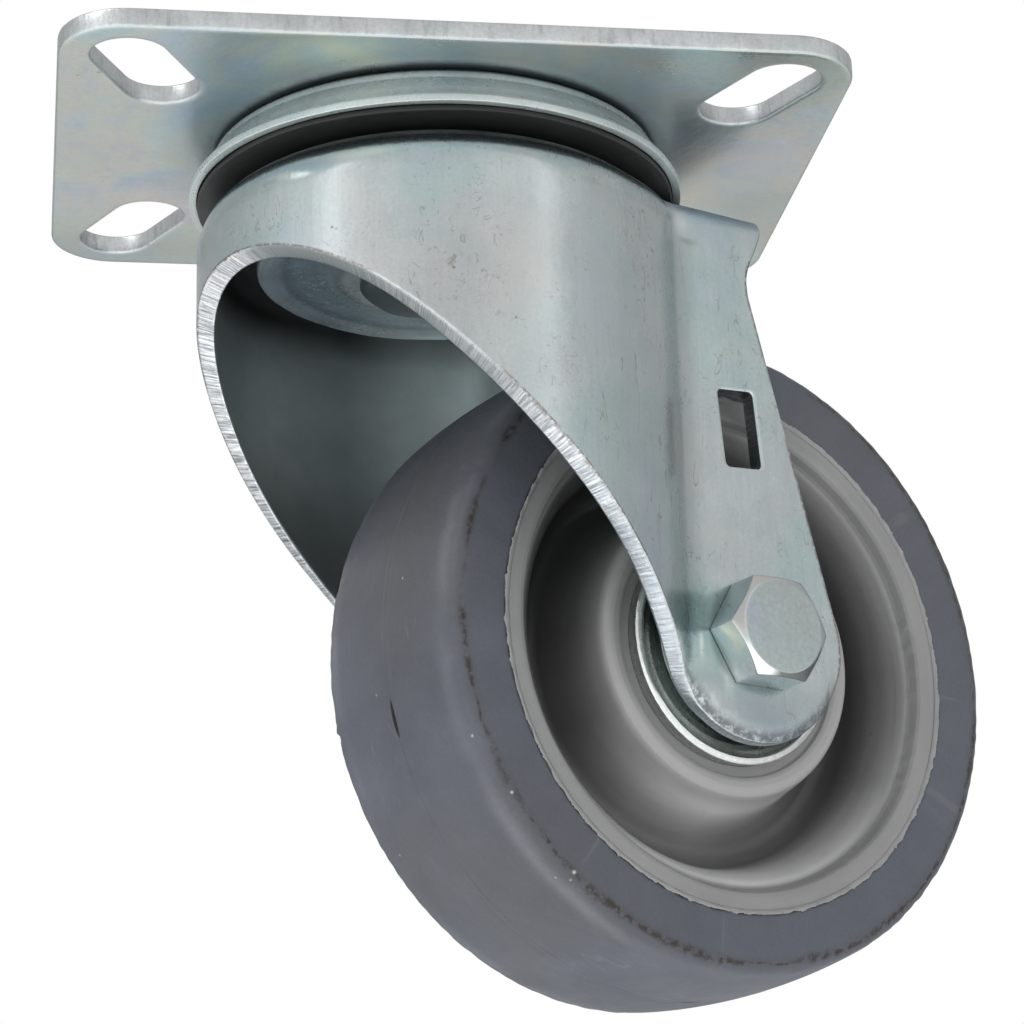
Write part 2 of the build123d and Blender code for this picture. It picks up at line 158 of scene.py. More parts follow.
def lathe(name, section, axis="z", n=256, wob=None, centre=None, closed=True):
    """Turns a closed section of (along, radius) points about the swivel axis
    (axis 'z') or the wheel's axle (axis 'a').  wob(along, radius, angle) may
    return offsets (d_along, d_radius) in mm."""
    verts, faces = [], []
    m = len(section)
    for i in range(n):
        t = 2 * math.pi * i / n
        c, s = math.cos(t), math.sin(t)
        for a, r in section:
            da = dr = 0.0
            if wob:
                da, dr = wob(a, r, t)
            if axis == "z":
                verts.append(((r + dr) * c, (r + dr) * s, a + da))
            else:
                p = HUB_C + AXLE * (a + da) + (TRAIL * c + UP * s) * (r + dr)
                verts.append(tuple(p))
    mm = m if closed else m - 1
    for i in range(n):
        j = (i + 1) % n
        for k in range(mm):
            l = (k + 1) % m
            faces.append((i * m + k, i * m + l, j * m + l, j * m + k))
    ob = new_object(name, verts, faces)
    # points on the axis collapse: merge them
    bm = bmesh.new()
    bm.from_mesh(ob.data)
    bmesh.ops.remove_doubles(bm, verts=bm.verts[:], dist=1e-7)
    bmesh.ops.recalc_face_normals(bm, faces=bm.faces[:])
    bm.to_mesh(ob.data)
    bm.free()
    ob.data.polygons.foreach_set("use_smooth", [True] * len(ob.data.polygons))
    return ob


# ------------------------------------------------------------------ fork form
# The fork is one sheet.  Its outer skin is drawn in (u, v): u runs along the
# plan outline from the nose, negative on the far side; v runs up the wall,
# through the bend and on to the crown.
SKIRT_R, LEG_Y, VALLEY_R, SHEET = 36.0, 24.16, 8.0, 2.8
CROWN_Z = -11.0
VCY = LEG_Y + VALLEY_R
VCX = math.sqrt((SKIRT_R + VALLEY_R) ** 2 - VCY ** 2)
ARC_A = math.pi - math.atan2(VCY, VCX)          # swept angle of the skirt, one side
U_SKIRT = SKIRT_R * ARC_A
VAL_A = math.pi / 2 - math.atan2(VCY, VCX)
U_LEG = U_SKIRT + VALLEY_R * VAL_A


def plan(u):
    """Plan outline: position (x, y) and outward normal for arrays of u."""
    u = np.asarray(u, float)
    s = np.abs(u)
    x = np.empty_like(s); y = np.empty_like(s)
    nx = np.empty_like(s); ny = np.empty_like(s)
    a = math.pi + s / SKIRT_R
    k = s <= U_SKIRT
    x[k] = SKIRT_R * np.cos(a[k]); y[k] = SKIRT_R * np.sin(a[k])
    nx[k] = np.cos(a[k]); ny[k] = np.sin(a[k])
    k = (s > U_SKIRT) & (s <= U_LEG)
    b = math.atan2(VCY, -VCX) - (s[k] - U_SKIRT) / VALLEY_R
    x[k] = VCX + VALLEY_R * np.cos(b); y[k] = -VCY + VALLEY_R * np.sin(b)
    nx[k] = -np.cos(b); ny[k] = -np.sin(b)
    k = s > U_LEG
    x[k] = VCX + (s[k] - U_LEG); y[k] = -LEG_Y
    nx[k] = 0.0; ny[k] = -1.0
    sg = np.where(u < 0, -1.0, 1.0)
    return x, y * sg, nx, ny * sg


_ut = np.linspace(0, U_LEG + 40, 6000)
_xt = plan(_ut)[0]


def u_of_x(x):
    return np.interp(x, _xt, _ut)


def smooth01(t):
    t = np.clip(t, 0, 1)
    return t * t * (3 - 2 * t)


def bend_r(u):
    """Outside bend radius: generous round the front, tight at the rear."""
    return 8.0 + (4.0 - 8.0) * smooth01((np.abs(u) - 70.0) / 22.0)


def skin(u, v):
    """Outer skin in the fork's own axes (x trail, y away from the bolt head)."""
    u = np.asarray(u, float)
    v = np.asarray(v, float)
    x, y, nx, ny = plan(u)
    rb = bend_r(u)
    zt = CROWN_Z - rb
    ph = np.clip((v - zt) / rb, 0, math.pi / 2)
    over = np.maximum(0, v - zt - rb * math.pi / 2)
    inset = rb * (1 - np.cos(ph)) + over
    z = np.where(v < zt, v, zt + rb * np.sin(ph))
    return np.stack([x - nx * inset, y - ny * inset, z], -1)


def to_row(p):
    """Fork axes to row axes, mm."""
    p = np.asarray(p, float)
    return np.stack([p[..., 0] * CA - p[..., 1] * SA,
                     p[..., 0] * SA + p[..., 1] * CA, p[..., 2]], -1)


def catmull(pts, n=12):
    pts = [np.array(p, float) for p in pts]
    P = [2 * pts[0] - pts[1]] + pts + [2 * pts[-1] - pts[-2]]
    out = []
    for i in range(1, len(P) - 2):
        for j in range(n):
            t = j / n
            a, b, c, d = P[i - 1], P[i], P[i + 1], P[i + 2]
            out.append(0.5 * ((2 * b) + (-a + c) * t + (2 * a - 5 * b + 4 * c - d) * t * t
                              + (-a + 3 * b - 3 * c + d) * t ** 3))
    out.append(P[-2])
    return np.array(out)


# side outline of the pressing, (x, z)
FRONT = catmull([(-36.0, -26.75), (-32.6, -29.9), (-27.5, -34.7), (-22.4, -39.8),
                 (-17.0, -45.3), (-11.6, -50.5), (-5.6, -56.1), (0.2, -61.4),
                 (7.2, -68.0), (13.4, -74.3), (19.0, -80.7), (22.8, -85.0),
                 (26.3, -88.4)])
END_R = 15.7
END_A0 = math.radians(223.5)
REAR_K = 0.272
REAR_N = math.sqrt(1 + REAR_K ** 2)
END_A1 = 2 * math.pi + math.atan2(REAR_K / REAR_N, 1 / REAR_N)
REAR_T = (39.0 + END_R / REAR_N, -79.0 + END_R * REAR_K / REAR_N)
FLARE = catmull([(REAR_T[0] - REAR_K * (-25.0 - REAR_T[1]), -25.0), (40.45, -22.2),
                 (41.15, -19.6), (42.3, -17.2), (43.25, -14.9), (43.8, -12.8),
                 (44.0, -11.0)])


def resample(pts, step):
    pts = np.array(pts, float)
    d = np.r_[0, np.cumsum(np.linalg.norm(np.diff(pts, axis=0), axis=1))]
    n = max(2, int(round(d[-1] / step)) + 1)
    t = np.linspace(0, d[-1], n)
    return np.stack([np.interp(t, d, pts[:, k]) for k in range(pts.shape[1])], -1)


def half_cut():
    """Cut edge of one side in (u, v), from the nose to the start of the rear
    bend rows: front cut, round end, rear edge, flare."""
    uu = np.linspace(0, u_of_x(26.0), 500)
    front = np.stack([uu, np.interp(plan(uu)[0], FRONT[:, 0], FRONT[:, 1])], -1)
    a = np.linspace(END_A0, END_A1, 80)
    end = np.stack([39 + END_R * np.cos(a), -79 + END_R * np.sin(a)], -1)
    end[:, 0] = u_of_x(end[:, 0])
    rear = np.array([REAR_T, (REAR_T[0] - REAR_K * (-25.0 - REAR_T[1]), -25.0)])
    rear[:, 0] = u_of_x(rear[:, 0])
    fl = FLARE[FLARE[:, 1] < V_ROW0 - 0.01].copy()
    xr = np.interp(V_ROW0, FLARE[:, 1], FLARE[:, 0])
    fl = np.vstack([fl, [xr, V_ROW0]])
    fl[:, 0] = u_of_x(fl[:, 0])
    pts = np.vstack([front, end, rear[1:], fl[1:]])
    return pts


V_ROW0 = -19.4            # the wall is triangulated below this, rows above it


def cdt_inside(outer, holes, inner_pts):
    """Triangles of the region inside outer and outside the holes."""
    from mathutils.geometry import delaunay_2d_cdt
    verts = [tuple(p) for p in outer]
    edges = [(i, (i + 1) % len(outer)) for i in range(len(outer))]
    for h in holes:
        s = len(verts)
        verts += [tuple(p) for p in h]
        edges += [(s + i, s + (i + 1) % len(h)) for i in range(len(h))]
    nb = len(verts)
    verts += [tuple(p) for p in inner_pts]
    res = delaunay_2d_cdt([Vector(v) for v in verts], edges, [], 0, 1e-5)
    vo, faces, orig = np.array([tuple(v) for v in res[0]]), res[2], res[3]
    loops = [np.array(outer)] + [np.array(h) for h in holes]
    cen = np.array([vo[list(f)].mean(0) for f in faces])

    def inside(poly, pts):
        x, y = pts[:, 0], pts[:, 1]
        c = np.zeros(len(pts), bool)
        j = len(poly) - 1
        for i in range(len(poly)):
            xi, yi = poly[i]
            xj, yj = poly[j]
            if yi != yj:
                t = (yi > y) != (yj > y)
                c ^= t & (x < (xj - xi) * (y - yi) / (yj - yi) + xi)
            j = i
        return c
    keep = inside(loops[0], cen)
    for h in loops[1:]:
        keep &= ~inside(h, cen)
    return vo, [tuple(f) for f, k in zip(faces, keep) if k]


def dist_to(poly, pts):
    poly = np.array(poly)
    A, B = poly, np.roll(poly, -1, axis=0)
    best = np.full(len(pts), 1e9)
    for a, b in zip(A, B):
        d = b - a
        L = d @ d
        t = np.clip(((pts - a) @ d) / max(L, 1e-12), 0, 1)
        q = a + t[:, None] * d
        best = np.minimum(best, np.linalg.norm(pts - q, axis=1))
    return best


def inset_row(poly, d, inward):
    """Points d inside a closed polygon; inward is +1 for an outer loop drawn
    anticlockwise, -1 for a hole drawn anticlockwise."""
    P = np.array(poly)
    t = np.roll(P, -1, 0) - np.roll(P, 1, 0)
    t /= np.linalg.norm(t, axis=1)[:, None]
    n = np.stack([-t[:, 1], t[:, 0]], -1) * inward
    return P + n * d


def build_fork():
    step = 0.9
    half = half_cut()
    near = resample(half, step)                       # nose -> rear top
    u_r0 = near[-1][0]
    ncol = 2 * int(round(u_r0 / 0.95)) + 1
    t = np.linspace(-1, 1, ncol)
    top = np.stack([t[::-1] * u_r0, np.full(ncol, V_ROW0)], -1)   # right to left
    far = near.copy()
    far[:, 0] *= -1
    outer = np.vstack([near[:-1], top[:-1], far[::-1][:-1]])      # anticlockwise
    # close exactly at the nose: near starts at u=0, far reversed ends before it
    holes = []
    for sg in (1, -1):
        a = np.linspace(0, 2 * math.pi, 49)[:-1] * sg
        cx = u_of_x(39.0)
        holes.append(np.stack([sg * cx + 5.15 * np.cos(a) * 1.0, -79 + 5.15 * np.sin(a)], -1))
        w, h, r, rot = 6.5, 12.0, 0.75, math.radians(5.2)
        box = rounded([(-w / 2, -h / 2, r), (w / 2, -h / 2, r), (w / 2, h / 2, r),
                       (-w / 2, h / 2, r)], seg=3)
        box = subdivide(box, 0.7)
        b = np.array(box)
        wx = b[:, 0] * math.cos(rot) - b[:, 1] * math.sin(rot)
        wz = b[:, 0] * math.sin(rot) + b[:, 1] * math.cos(rot)
        holes.append(np.stack([sg * (u_of_x(37.7) + wx), -46.8 + wz], -1)[::sg])
    inner = []
    rows = [inset_row(outer, 0.75, 1), inset_row(outer, 1.7, 1)]
    for h in holes:
        rows += [inset_row(h, 0.7, -1)]
    allb = [outer] + holes
    for rr in rows:
        d = np.min([dist_to(b, rr) for b in allb], axis=0)
        inner.append(rr[d > 0.55])
    base = np.vstack(inner)
    gs = 1.3
    us = np.arange(-u_of_x(56), u_of_x(56), gs)
    vs = np.arange(-96, V_ROW0, gs * 0.866)
    grid = np.array([(u + (gs / 2 if k % 2 else 0), v) for k, v in enumerate(vs) for u in us])
    d = np.min([dist_to(b, grid) for b in allb], axis=0)
    grid = grid[d > 2.4]
    pts = np.vstack([base, grid])
    vo, tris = cdt_inside(outer, holes, pts)
    verts = [tuple(p) for p in skin(vo[:, 0], vo[:, 1])]
    faces = [tuple(f) for f in tris]

    # bend rows up to the crown, sharing the top row by position
    phs = np.linspace(0, 1, 19)
    prev = None
    u_last = None
    for k, q in enumerate(phs):
        row = []
        for i, tt in enumerate(t):
            # v goes from V_ROW0 to one millimetre on to the crown; the rear
            # edge follows the flare
            ur = u_r0
            for _ in range(3):
                u = tt * ur
                rb = float(bend_r(u))
                zt = CROWN_Z - rb
                v1 = zt + rb * math.pi / 2 + 1.0
                if q < 0.12:
                    v = V_ROW0 + (zt - V_ROW0) * q / 0.12 if zt > V_ROW0 else V_ROW0
                    if zt <= V_ROW0:
                        v = V_ROW0 + (v1 - V_ROW0) * q
                else:
                    v = zt + (v1 - zt) * (q - 0.12) / 0.88
                z = float(skin(np.array([u]), np.array([v]))[0, 2])
                xr = float(np.interp(min(z, CROWN_Z), FLARE[:, 1], FLARE[:, 0]))
                ur = float(u_of_x(xr))
            row.append((tt * ur, v))
        row = np.array(row)
        P = skin(row[:, 0], row[:, 1])
        s = len(verts)
        verts += [tuple(p) for p in P]
        if prev is not None:
            for i in range(ncol - 1):
                faces.append((prev + i, prev + i + 1, s + i + 1, s + i))
        prev = s
        u_last = P
    # crown: flat, inside the last row, round the bore
    loop = [tuple(p[:2]) for p in u_last]              # far rear -> nose -> near rear
    a, b = np.array(loop[-1]), np.array(loop[0])
    nrear = int(round(np.linalg.norm(b - a) / 0.9))
    rear = [tuple(a + (b - a) * j / nrear) for j in range(1, nrear)]
    outer2 = np.array(loop + rear)
    area = 0.5 * np.sum(outer2[:, 0] * np.roll(outer2[:, 1], -1) - np.roll(outer2[:, 0], -1) * outer2[:, 1])
    if area < 0:
        outer2 = outer2[::-1]
    ang = np.linspace(0, 2 * math.pi, 73)[:-1]
    bore = np.stack([11.5 * np.cos(ang), 11.5 * np.sin(ang)], -1)
    gx = np.arange(-40, 46, 1.8)
    g = np.array([(x + (0.9 if k % 2 else 0), y) for k, y in enumerate(np.arange(-36, 36, 1.56)) for x in gx])
    d = np.minimum(dist_to(outer2, g), dist_to(bore, g))
    from_in = np.hypot(g[:, 0], g[:, 1]) > 11.5
    g = g[(d > 1.6) & from_in]
    r2 = inset_row(outer2, 0.8, 1)
    r3 = inset_row(bore, 0.8, -1)
    vo, tris = cdt_inside(outer2, [bore], np.vstack([r2, r3, g]))
    s = len(verts)
    verts += [(p[0], p[1], CROWN_Z) for p in vo]
    faces += [tuple(i + s for i in f) for f in tris]

    ob = new_object("fork_sheet", [tuple(p) for p in to_row(np.array(verts))], faces)
    bm = bmesh.new()
    bm.from_mesh(ob.data)
    bmesh.ops.remove_doubles(bm, verts=bm.verts[:], dist=2e-5)
    loose = [v for v in bm.verts if not v.link_faces]
    bmesh.ops.delete(bm, geom=loose, context="VERTS")
    bmesh.ops.recalc_face_normals(bm, faces=bm.faces[:])
    # outward: the crown's faces look up
    up = sum(f.normal.z * f.calc_area() for f in bm.faces if abs(f.normal.z) > 0.9)
    if up < 0:
        bmesh.ops.reverse_faces(bm, faces=bm.faces[:])
    nb = sum(1 for e in bm.edges if len(e.link_faces) == 1)
    nm = sum(1 for e in bm.edges if len(e.link_faces) > 2)
    print("fork sheet: verts", len(bm.verts), "faces", len(bm.faces), "border edges", nb, "non-manifold", nm)
    bm.to_mesh(ob.data)
    bm.free()
    outer_co = np.empty(len(ob.data.vertices) * 3)
    ob.data.vertices.foreach_get("co", outer_co)
    outer_co = outer_co.reshape(-1, 3) / MM
    outer_faces = [tuple(p.vertices) for p in ob.data.polygons]
    ob.data.materials.append(None)
    ob.data.materials.append(None)
    so = ob.modifiers.new("thick", "SOLIDIFY")
    so.thickness = SHEET * MM
    so.offset = -1
    so.use_even_offset = True
    so.use_rim = True
    so.material_offset_rim = 1
    be = ob.modifiers.new("edge", "BEVEL")
    be.limit_method = "ANGLE"
    be.angle_limit = math.radians(55)
    be.width = 0.4 * MM
    be.segments = 3
    be.profile = 0.6
    be.harden_normals = False
    be.use_clamp_overlap = True
    apply_modifiers(ob)
    ob.data.polygons.foreach_set("use_smooth", [True] * len(ob.data.polygons))
    print("fork: faces", len(ob.data.polygons))
    sheet_attribute(ob, outer_co, outer_faces)
    rim_attribute(ob, near, far)
    return ob


def rim_attribute(ob, near, far):
    """Stores the distance from the sheared outline in metres, and rolls the
    sheet's outer face over towards it at the ends of the legs."""
    line = np.vstack([resample(near, 0.12), resample(far, 0.12)])
    kd = KDTree(len(line))
    for i, q in enumerate(line):
        kd.insert(Vector((q[0], q[1], 0.0)), i)
    kd.balance()
    n = len(ob.data.vertices)
    sv = np.empty(n * 3, dtype=np.float32)
    ob.data.attributes["sheet"].data.foreach_get("vector", sv)
    sv = sv.reshape(-1, 3).astype(float) / MM
    found = [kd.find(Vector((u, v, 0.0))) for u, v in sv[:, :2]]
    dist = np.array([f[2] for f in found])
    run = np.gradient(line, axis=0)
    run /= np.maximum(np.linalg.norm(run, axis=1, keepdims=True), 1e-9)
    run = run[[f[1] for f in found]]
    co = np.empty(n * 3)
    ob.data.vertices.foreach_get("co", co)
    co = co.reshape(-1, 3) / MM
    q = from_row(co)
    amount = 0.85 * smooth01((-81.0 - sv[:, 1]) / 6.0) * np.clip(1 - dist / 2.0, 0, 1) ** 2 * np.clip(1.6 - sv[:, 2], 0, 1)
    q[:, 1] -= np.sign(q[:, 1]) * amount
    # the flare's rear edge was torn on a slant, so its face shows from outside
    z = co[:, 2]
    window = smooth01((z + 24.5) / 4.0) * smooth01((-13.0 - z) / 2.5)
    slant = window * np.clip((sv[:, 2] - 0.5) / 2.2, 0, 1) * np.clip(1 - dist / 1.9, 0, 1) * (q[:, 0] > 37.5)
    q[:, 0] += 1.25 * slant
    # the front cut leans as well, its outer line higher than its inner one
    front = (q[:, 0] < 22.0) & (sv[:, 1] < -24.0)
    lean = smooth01((sv[:, 1] + 74.0) / 14.0) * front * np.clip(1 - dist / 2.0, 0, 1)
    lean = 0.55 * lean * np.clip(1 - sv[:, 2] / 1.3, -1, 1)
    q[:, 2] += lean
    sv[:, 0] += lean * run[:, 0] * run[:, 1]
    sv[:, 1] += lean * run[:, 1] ** 2
    ob.data.attributes["sheet"].data.foreach_set("vector", (sv * MM).astype(np.float32).ravel())
    co = np.array(to_row(q)) * MM
    ob.data.vertices.foreach_set("co", co.ravel())
    ob.data.update()
    att = ob.data.attributes.new("rim", "FLOAT", "POINT")
    att.data.foreach_set("value", (dist * MM).astype(np.float32))


def from_row(p):
    p = np.asarray(p, float)
    return np.stack([p[..., 0] * CA + p[..., 1] * SA,
                     -p[..., 0] * SA + p[..., 1] * CA, p[..., 2]], -1)


def sheet_attribute(ob, outer_co, outer_faces):
    """Stores (u, v, depth in the sheet) in metres on every point, so that
    scratches and the sheared edge's lines follow the pressing."""
    tree = BVHTree.FromPolygons([Vector(c) for c in outer_co], outer_faces)
    nv = len(ob.data.vertices)
    co = np.empty(nv * 3)
    ob.data.vertices.foreach_get("co", co)
    co = co.reshape(-1, 3) / MM
    foot = np.empty((nv, 3))
    depth = np.empty(nv)
    for i in range(nv):
        loc, _, _, dist = tree.find_nearest(Vector(co[i]))
        foot[i] = loc
        depth[i] = dist
    q = from_row(foot)
    x, y, z = q[:, 0], q[:, 1], q[:, 2]
    a = np.arctan2(np.abs(y), -x)                      # 0 at the nose
    u_round = a * SKIRT_R
    u_flat = u_of_x(np.clip(x, VCX, 60))
    t = smooth01((x - 14.0) / 16.0)
    u = np.where(x > VCX, u_flat, u_round * (1 - t) + np.minimum(u_flat, u_round) * t)
    rad = np.maximum(np.hypot(x, y), 1e-6)
    v = np.where(z > CROWN_Z - 0.02, CROWN_Z + np.maximum(0, 30 - rad), z)
    data = np.stack([u * np.sign(y + 1e-9), v, depth], -1) * MM
    att = ob.data.attributes.new("sheet", "FLOAT_VECTOR", "POINT")
    att.data.foreach_set("vector", data.astype(np.float32).ravel())


# ------------------------------------------------------------------ plate
def build_plate():
    L, W, R, TH = 115.0, 85.0, 10.0, 3.0
    out = rounded([(-L / 2, -W / 2, R), (L / 2, -W / 2, R), (L / 2, W / 2, R), (-L / 2, W / 2, R)], seg=9)
    out = subdivide(out, 1.6)
    holes = []
    for sx, sy in ((1, 1), (1, -1), (-1, 1), (-1, -1)):
        a = np.array([sx * 42.45, sy * 23.4])
        b = np.array([sx * 47.35, sy * 33.0])
        d = (b - a) / np.linalg.norm(b - a)
        base = math.atan2(d[1], d[0])
        loop = []
        for k in range(25):
            t = base - math.pi / 2 + math.pi * k / 24
            loop.append(tuple(b + 5.5 * np.array([math.cos(t), math.sin(t)])))
        for k in range(25):
            t = base + math.pi / 2 + math.pi * k / 24
            loop.append(tuple(a + 5.5 * np.array([math.cos(t), math.sin(t)])))
        holes.append(np.array(subdivide(loop, 1.2)))
    ang = np.linspace(0, 2 * math.pi, 65)[:-1]
    holes.append(np.stack([7.42 * np.cos(ang), 7.42 * np.sin(ang)], -1))
    g = np.array([(x + (1.5 if k % 2 else 0), y) for k, y in enumerate(np.arange(-42, 43, 2.6)) for x in np.arange(-57, 58, 3.0)])
    d = np.min([dist_to(b, g) for b in [np.array(out)] + holes], axis=0)
    g = g[d > 2.6]
    rows = [inset_row(out, 1.2, 1)] + [inset_row(h, 1.0, -1) for h in holes]
    vo, tris = cdt_inside(out, holes, np.vstack(rows + [g]))
    ob = new_object("plate_sheet", [(p[0], p[1], 0.0) for p in vo], tris)
    bm = bmesh.new()
    bm.from_mesh(ob.data)
    bmesh.ops.delete(bm, geom=[v for v in bm.verts if not v.link_faces], context="VERTS")
    bmesh.ops.recalc_face_normals(bm, faces=bm.faces[:])
    if sum(f.normal.z for f in bm.faces) < 0:
        bmesh.ops.reverse_faces(bm, faces=bm.faces[:])
    bm.to_mesh(ob.data)
    bm.free()
    ob.data.materials.append(None)
    ob.data.materials.append(None)
    so = ob.modifiers.new("thick", "SOLIDIFY")
    so.thickness = TH * MM
    so.offset = -1
    so.use_rim = True
    so.material_offset_rim = 1
    be = ob.modifiers.new("edge", "BEVEL")
    be.limit_method = "ANGLE"
    be.angle_limit = math.radians(50)
    be.width = 0.45 * MM
    be.segments = 3
    apply_modifiers(ob)
    ob.data.polygons.foreach_set("use_smooth", [True] * len(ob.data.polygons))
    return ob


# ------------------------------------------------------------------ hexagons
def hex_outline(af, r, per=10):
    R = af / 2 / math.cos(math.pi / 6)
    pts = [(R * math.cos(math.pi / 3 * k), R * math.sin(math.pi / 3 * k), r) for k in range(6)]
    out = rounded(pts, seg=3)
    return np.array(subdivide(out, af / 2 / per * 1.15))


def build_hex(name, af, d0, d1, flat_r, chamfer_low=False, bore=0.0, low_r=None, crown=0.0):
    """Hexagon head or nut along the axle from d0 (seat) to d1 (outer face)."""
    out = hex_outline(af, 0.38)
    n = len(out)
    rho = np.hypot(out[:, 0], out[:, 1])
    h = d1 - d0
    sg = 1.0 if h > 0 else -1.0
    h = abs(h)
    tan30 = 0.60
    rows = []           # (points n x 2, height n)
    zs = h - np.maximum(0, rho - flat_r) * tan30
    low_r = low_r or flat_r

    def ring(scale_r, z):
        k = scale_r / rho
        rows.append((out * k[:, None], z))
    if bore > 0:
        ring(np.full(n, bore), np.full(n, 0.0))
        ring(np.full(n, bore + 0.3), np.full(n, 0.0))
    else:
        rows.append((out * 0.0, np.zeros(n)))
    if chamfer_low:
        ring(np.full(n, low_r), np.full(n, 0.0))
        zl = np.maximum(0, rho - low_r) * tan30
        ring(rho - 0.1, np.maximum(0, rho - 0.1 - low_r) * tan30)
        ring(rho, zl + 0.12)
    else:
        ring(rho - 0.25, np.zeros(n))
        ring(rho - 0.06, np.full(n, 0.05))
        ring(rho, np.full(n, 0.25))
    for q in np.linspace(0.15, 0.85, 4):
        ring(rho, q * (zs - 0.25) + 0.1)
    ring(rho, zs - 0.22)
    ring(rho - 0.03, zs - 0.07)
    ring(rho - 0.12, zs + 0.03)
    m = flat_r + 0.25
    for q in (0.35, 0.7):
        rr = (rho - 0.12) * (1 - q) + m * q
        ring(rr, h - np.maximum(0, rr - flat_r) * tan30 - 0.02)
    ring(np.full(n, flat_r + 0.12), np.full(n, h - 0.075))
    ring(np.full(n, flat_r - 0.05), np.full(n, h - 0.02))
    ring(np.full(n, flat_r - 0.3), np.full(n, h))
    if bore > 0:
        ring(np.full(n, bore + 0.45), np.full(n, h))
        ring(np.full(n, bore), np.full(n, h - 0.35))
    else:
        ring(np.full(n, flat_r * 0.5), np.full(n, h + crown))
        rows.append((out * 0.0, np.full(n, h + crown)))
    verts, faces = [], []
    for xy, z in rows:
        for k in range(n):
            d = d0 + sg * z[k]
            p = HUB_C + AXLE * d + TRAIL * float(xy[k, 0]) + UP * float(xy[k, 1])
            verts.append(tuple(p))
    m = len(rows)
    loops = m if bore > 0 else m - 1
    for i in range(loops):
        j = (i + 1) % m
        for k in range(n):
            l = (k + 1) % n
            faces.append((i * n + k, i * n + l, j * n + l, j * n + k))
    ob = new_object(name, verts, faces)
    bm = bmesh.new()
    bm.from_mesh(ob.data)
    bmesh.ops.remove_doubles(bm, verts=bm.verts[:], dist=1e-7)
    bmesh.ops.recalc_face_normals(bm, faces=bm.faces[:])
    bm.to_mesh(ob.data)
    bm.free()
    ob.data.polygons.foreach_set("use_smooth", [True] * len(ob.data.polygons))
    w = ob.modifiers.new("wn", "WEIGHTED_NORMAL")
    w.keep_sharp = False
    w.weight = 60
    apply_modifiers(ob)
    return ob


def build_thread(name, d0, d1, r=5.0, pitch=1.5, depth=0.8):
    """Threaded end of the bolt, with a chamfered tip, along the axle."""
    n = 64
    L = abs(d1 - d0)
    sg = 1 if d1 > d0 else -1
    rows = np.arange(0, L - 0.001, pitch / 10)
    verts, faces = [], []
    tip = 1.0
    for z in rows:
        for i in range(n):
            t = 2 * math.pi * i / n
            ph = (z / pitch - i / n) % 1.0
            w = abs(ph - 0.5) * 2
            prof = min(1.0, max(0.0, (w - 0.12) / 0.76))
            rr = r - depth * (1 - prof) * 0.98
            lim = r - max(0.0, z - (L - tip)) * 1.0
            rr = min(rr, lim)
            p = HUB_C + AXLE * (d0 + sg * z) + (TRAIL * math.cos(t) + UP * math.sin(t)) * rr
            verts.append(tuple(p))
    m = len(rows)
    for j in range(m - 1):
        for i in range(n):
            k = (i + 1) % n
            faces.append((j * n + i, j * n + k, (j + 1) * n + k, (j + 1) * n + i))
    c0 = len(verts)
    verts.append(tuple(HUB_C + AXLE * d0))
    verts.append(tuple(HUB_C + AXLE * (d0 + sg * (rows[-1] + 0.1))))
    for i in range(n):
        k = (i + 1) % n
        faces.append((c0, i, k))
        faces.append((c0 + 1, (m - 1) * n + k, (m - 1) * n + i))
    return fix_normals(new_object(name, verts, faces))


# ------------------------------------------------------------------ turned and moulded pieces
def arc3(a, b, c, n):
    """Points on the circle through a, b, c."""
    (ax, ay), (bx, by), (cx, cy) = a, b, c
    d = 2 * (ax * (by - cy) + bx * (cy - ay) + cx * (ay - by))
    ux = ((ax * ax + ay * ay) * (by - cy) + (bx * bx + by * by) * (cy - ay) + (cx * cx + cy * cy) * (ay - by)) / d
    uy = ((ax * ax + ay * ay) * (cx - bx) + (bx * bx + by * by) * (ax - cx) + (cx * cx + cy * cy) * (bx - ax)) / d
    r = math.hypot(ax - ux, ay - uy)
    t0 = math.atan2(ay - uy, ax - ux)
    t1 = math.atan2(by - uy, bx - ux)
    t2 = math.atan2(cy - uy, cx - ux)
    d1 = (t1 - t0) % (2 * math.pi)
    d2 = (t2 - t0) % (2 * math.pi)
    if d1 > d2:
        d2 -= 2 * math.pi
    return [(ux + r * math.cos(t0 + d2 * k / n), uy + r * math.sin(t0 + d2 * k / n)) for k in range(n + 1)]


def ring_noise(seed, lo, hi, count=24):
    """Smooth noise round a ring, about -1 to 1."""
    rnd = random.Random(seed)
    terms = [(rnd.randint(lo, hi), rnd.uniform(0, 2 * math.pi), rnd.uniform(0.4, 1)) for _ in range(count)]
    k = 1.6 / math.sqrt(sum(a * a for _, _, a in terms))

    def f(t):
        return k * sum(a * math.sin(m * t + p) for m, p, a in terms)
    return f


def bump_at(t, centre, width):
    d = (t - centre + math.pi) % (2 * math.pi) - math.pi
    return math.exp(-(d / width) ** 2)


def flipped(points, side):
    return [(side * p[0],) + tuple(p[1:]) for p in points]


def build_upper_race():
    s = [(-3.0, 6.0), (-3.0, 33.0, 0.6), (-3.6, 33.7, 0.5), (-4.7, 34.0, 1.0), (-8.75, 37.2, 0.35),
         (-9.0, 37.35, 0.12), (-9.95, 37.35, 0.16), (-9.95, 36.1, 0.12), (-9.1, 35.95, 0.5),
         (-5.3, 32.9, 1.0), (-4.8, 32.2, 0.5), (-4.8, 28.4), (-4.34, 25.0), (-4.8, 21.6), (-4.8, 6.0)]
    a, b = ring_noise(11, 3, 9), ring_noise(12, 20, 60)

    def wob(al, r, t):
        if r > 36.9:
            return 0.03 * a(t) + 0.004 * b(t), -0.02 + 0.006 * b(t)
        return 0.0, 0.0
    s = rounded(s, seg=3)
    return lathe("upper_race_turned", subdivide(s, 1.0), "z", 320, wob)


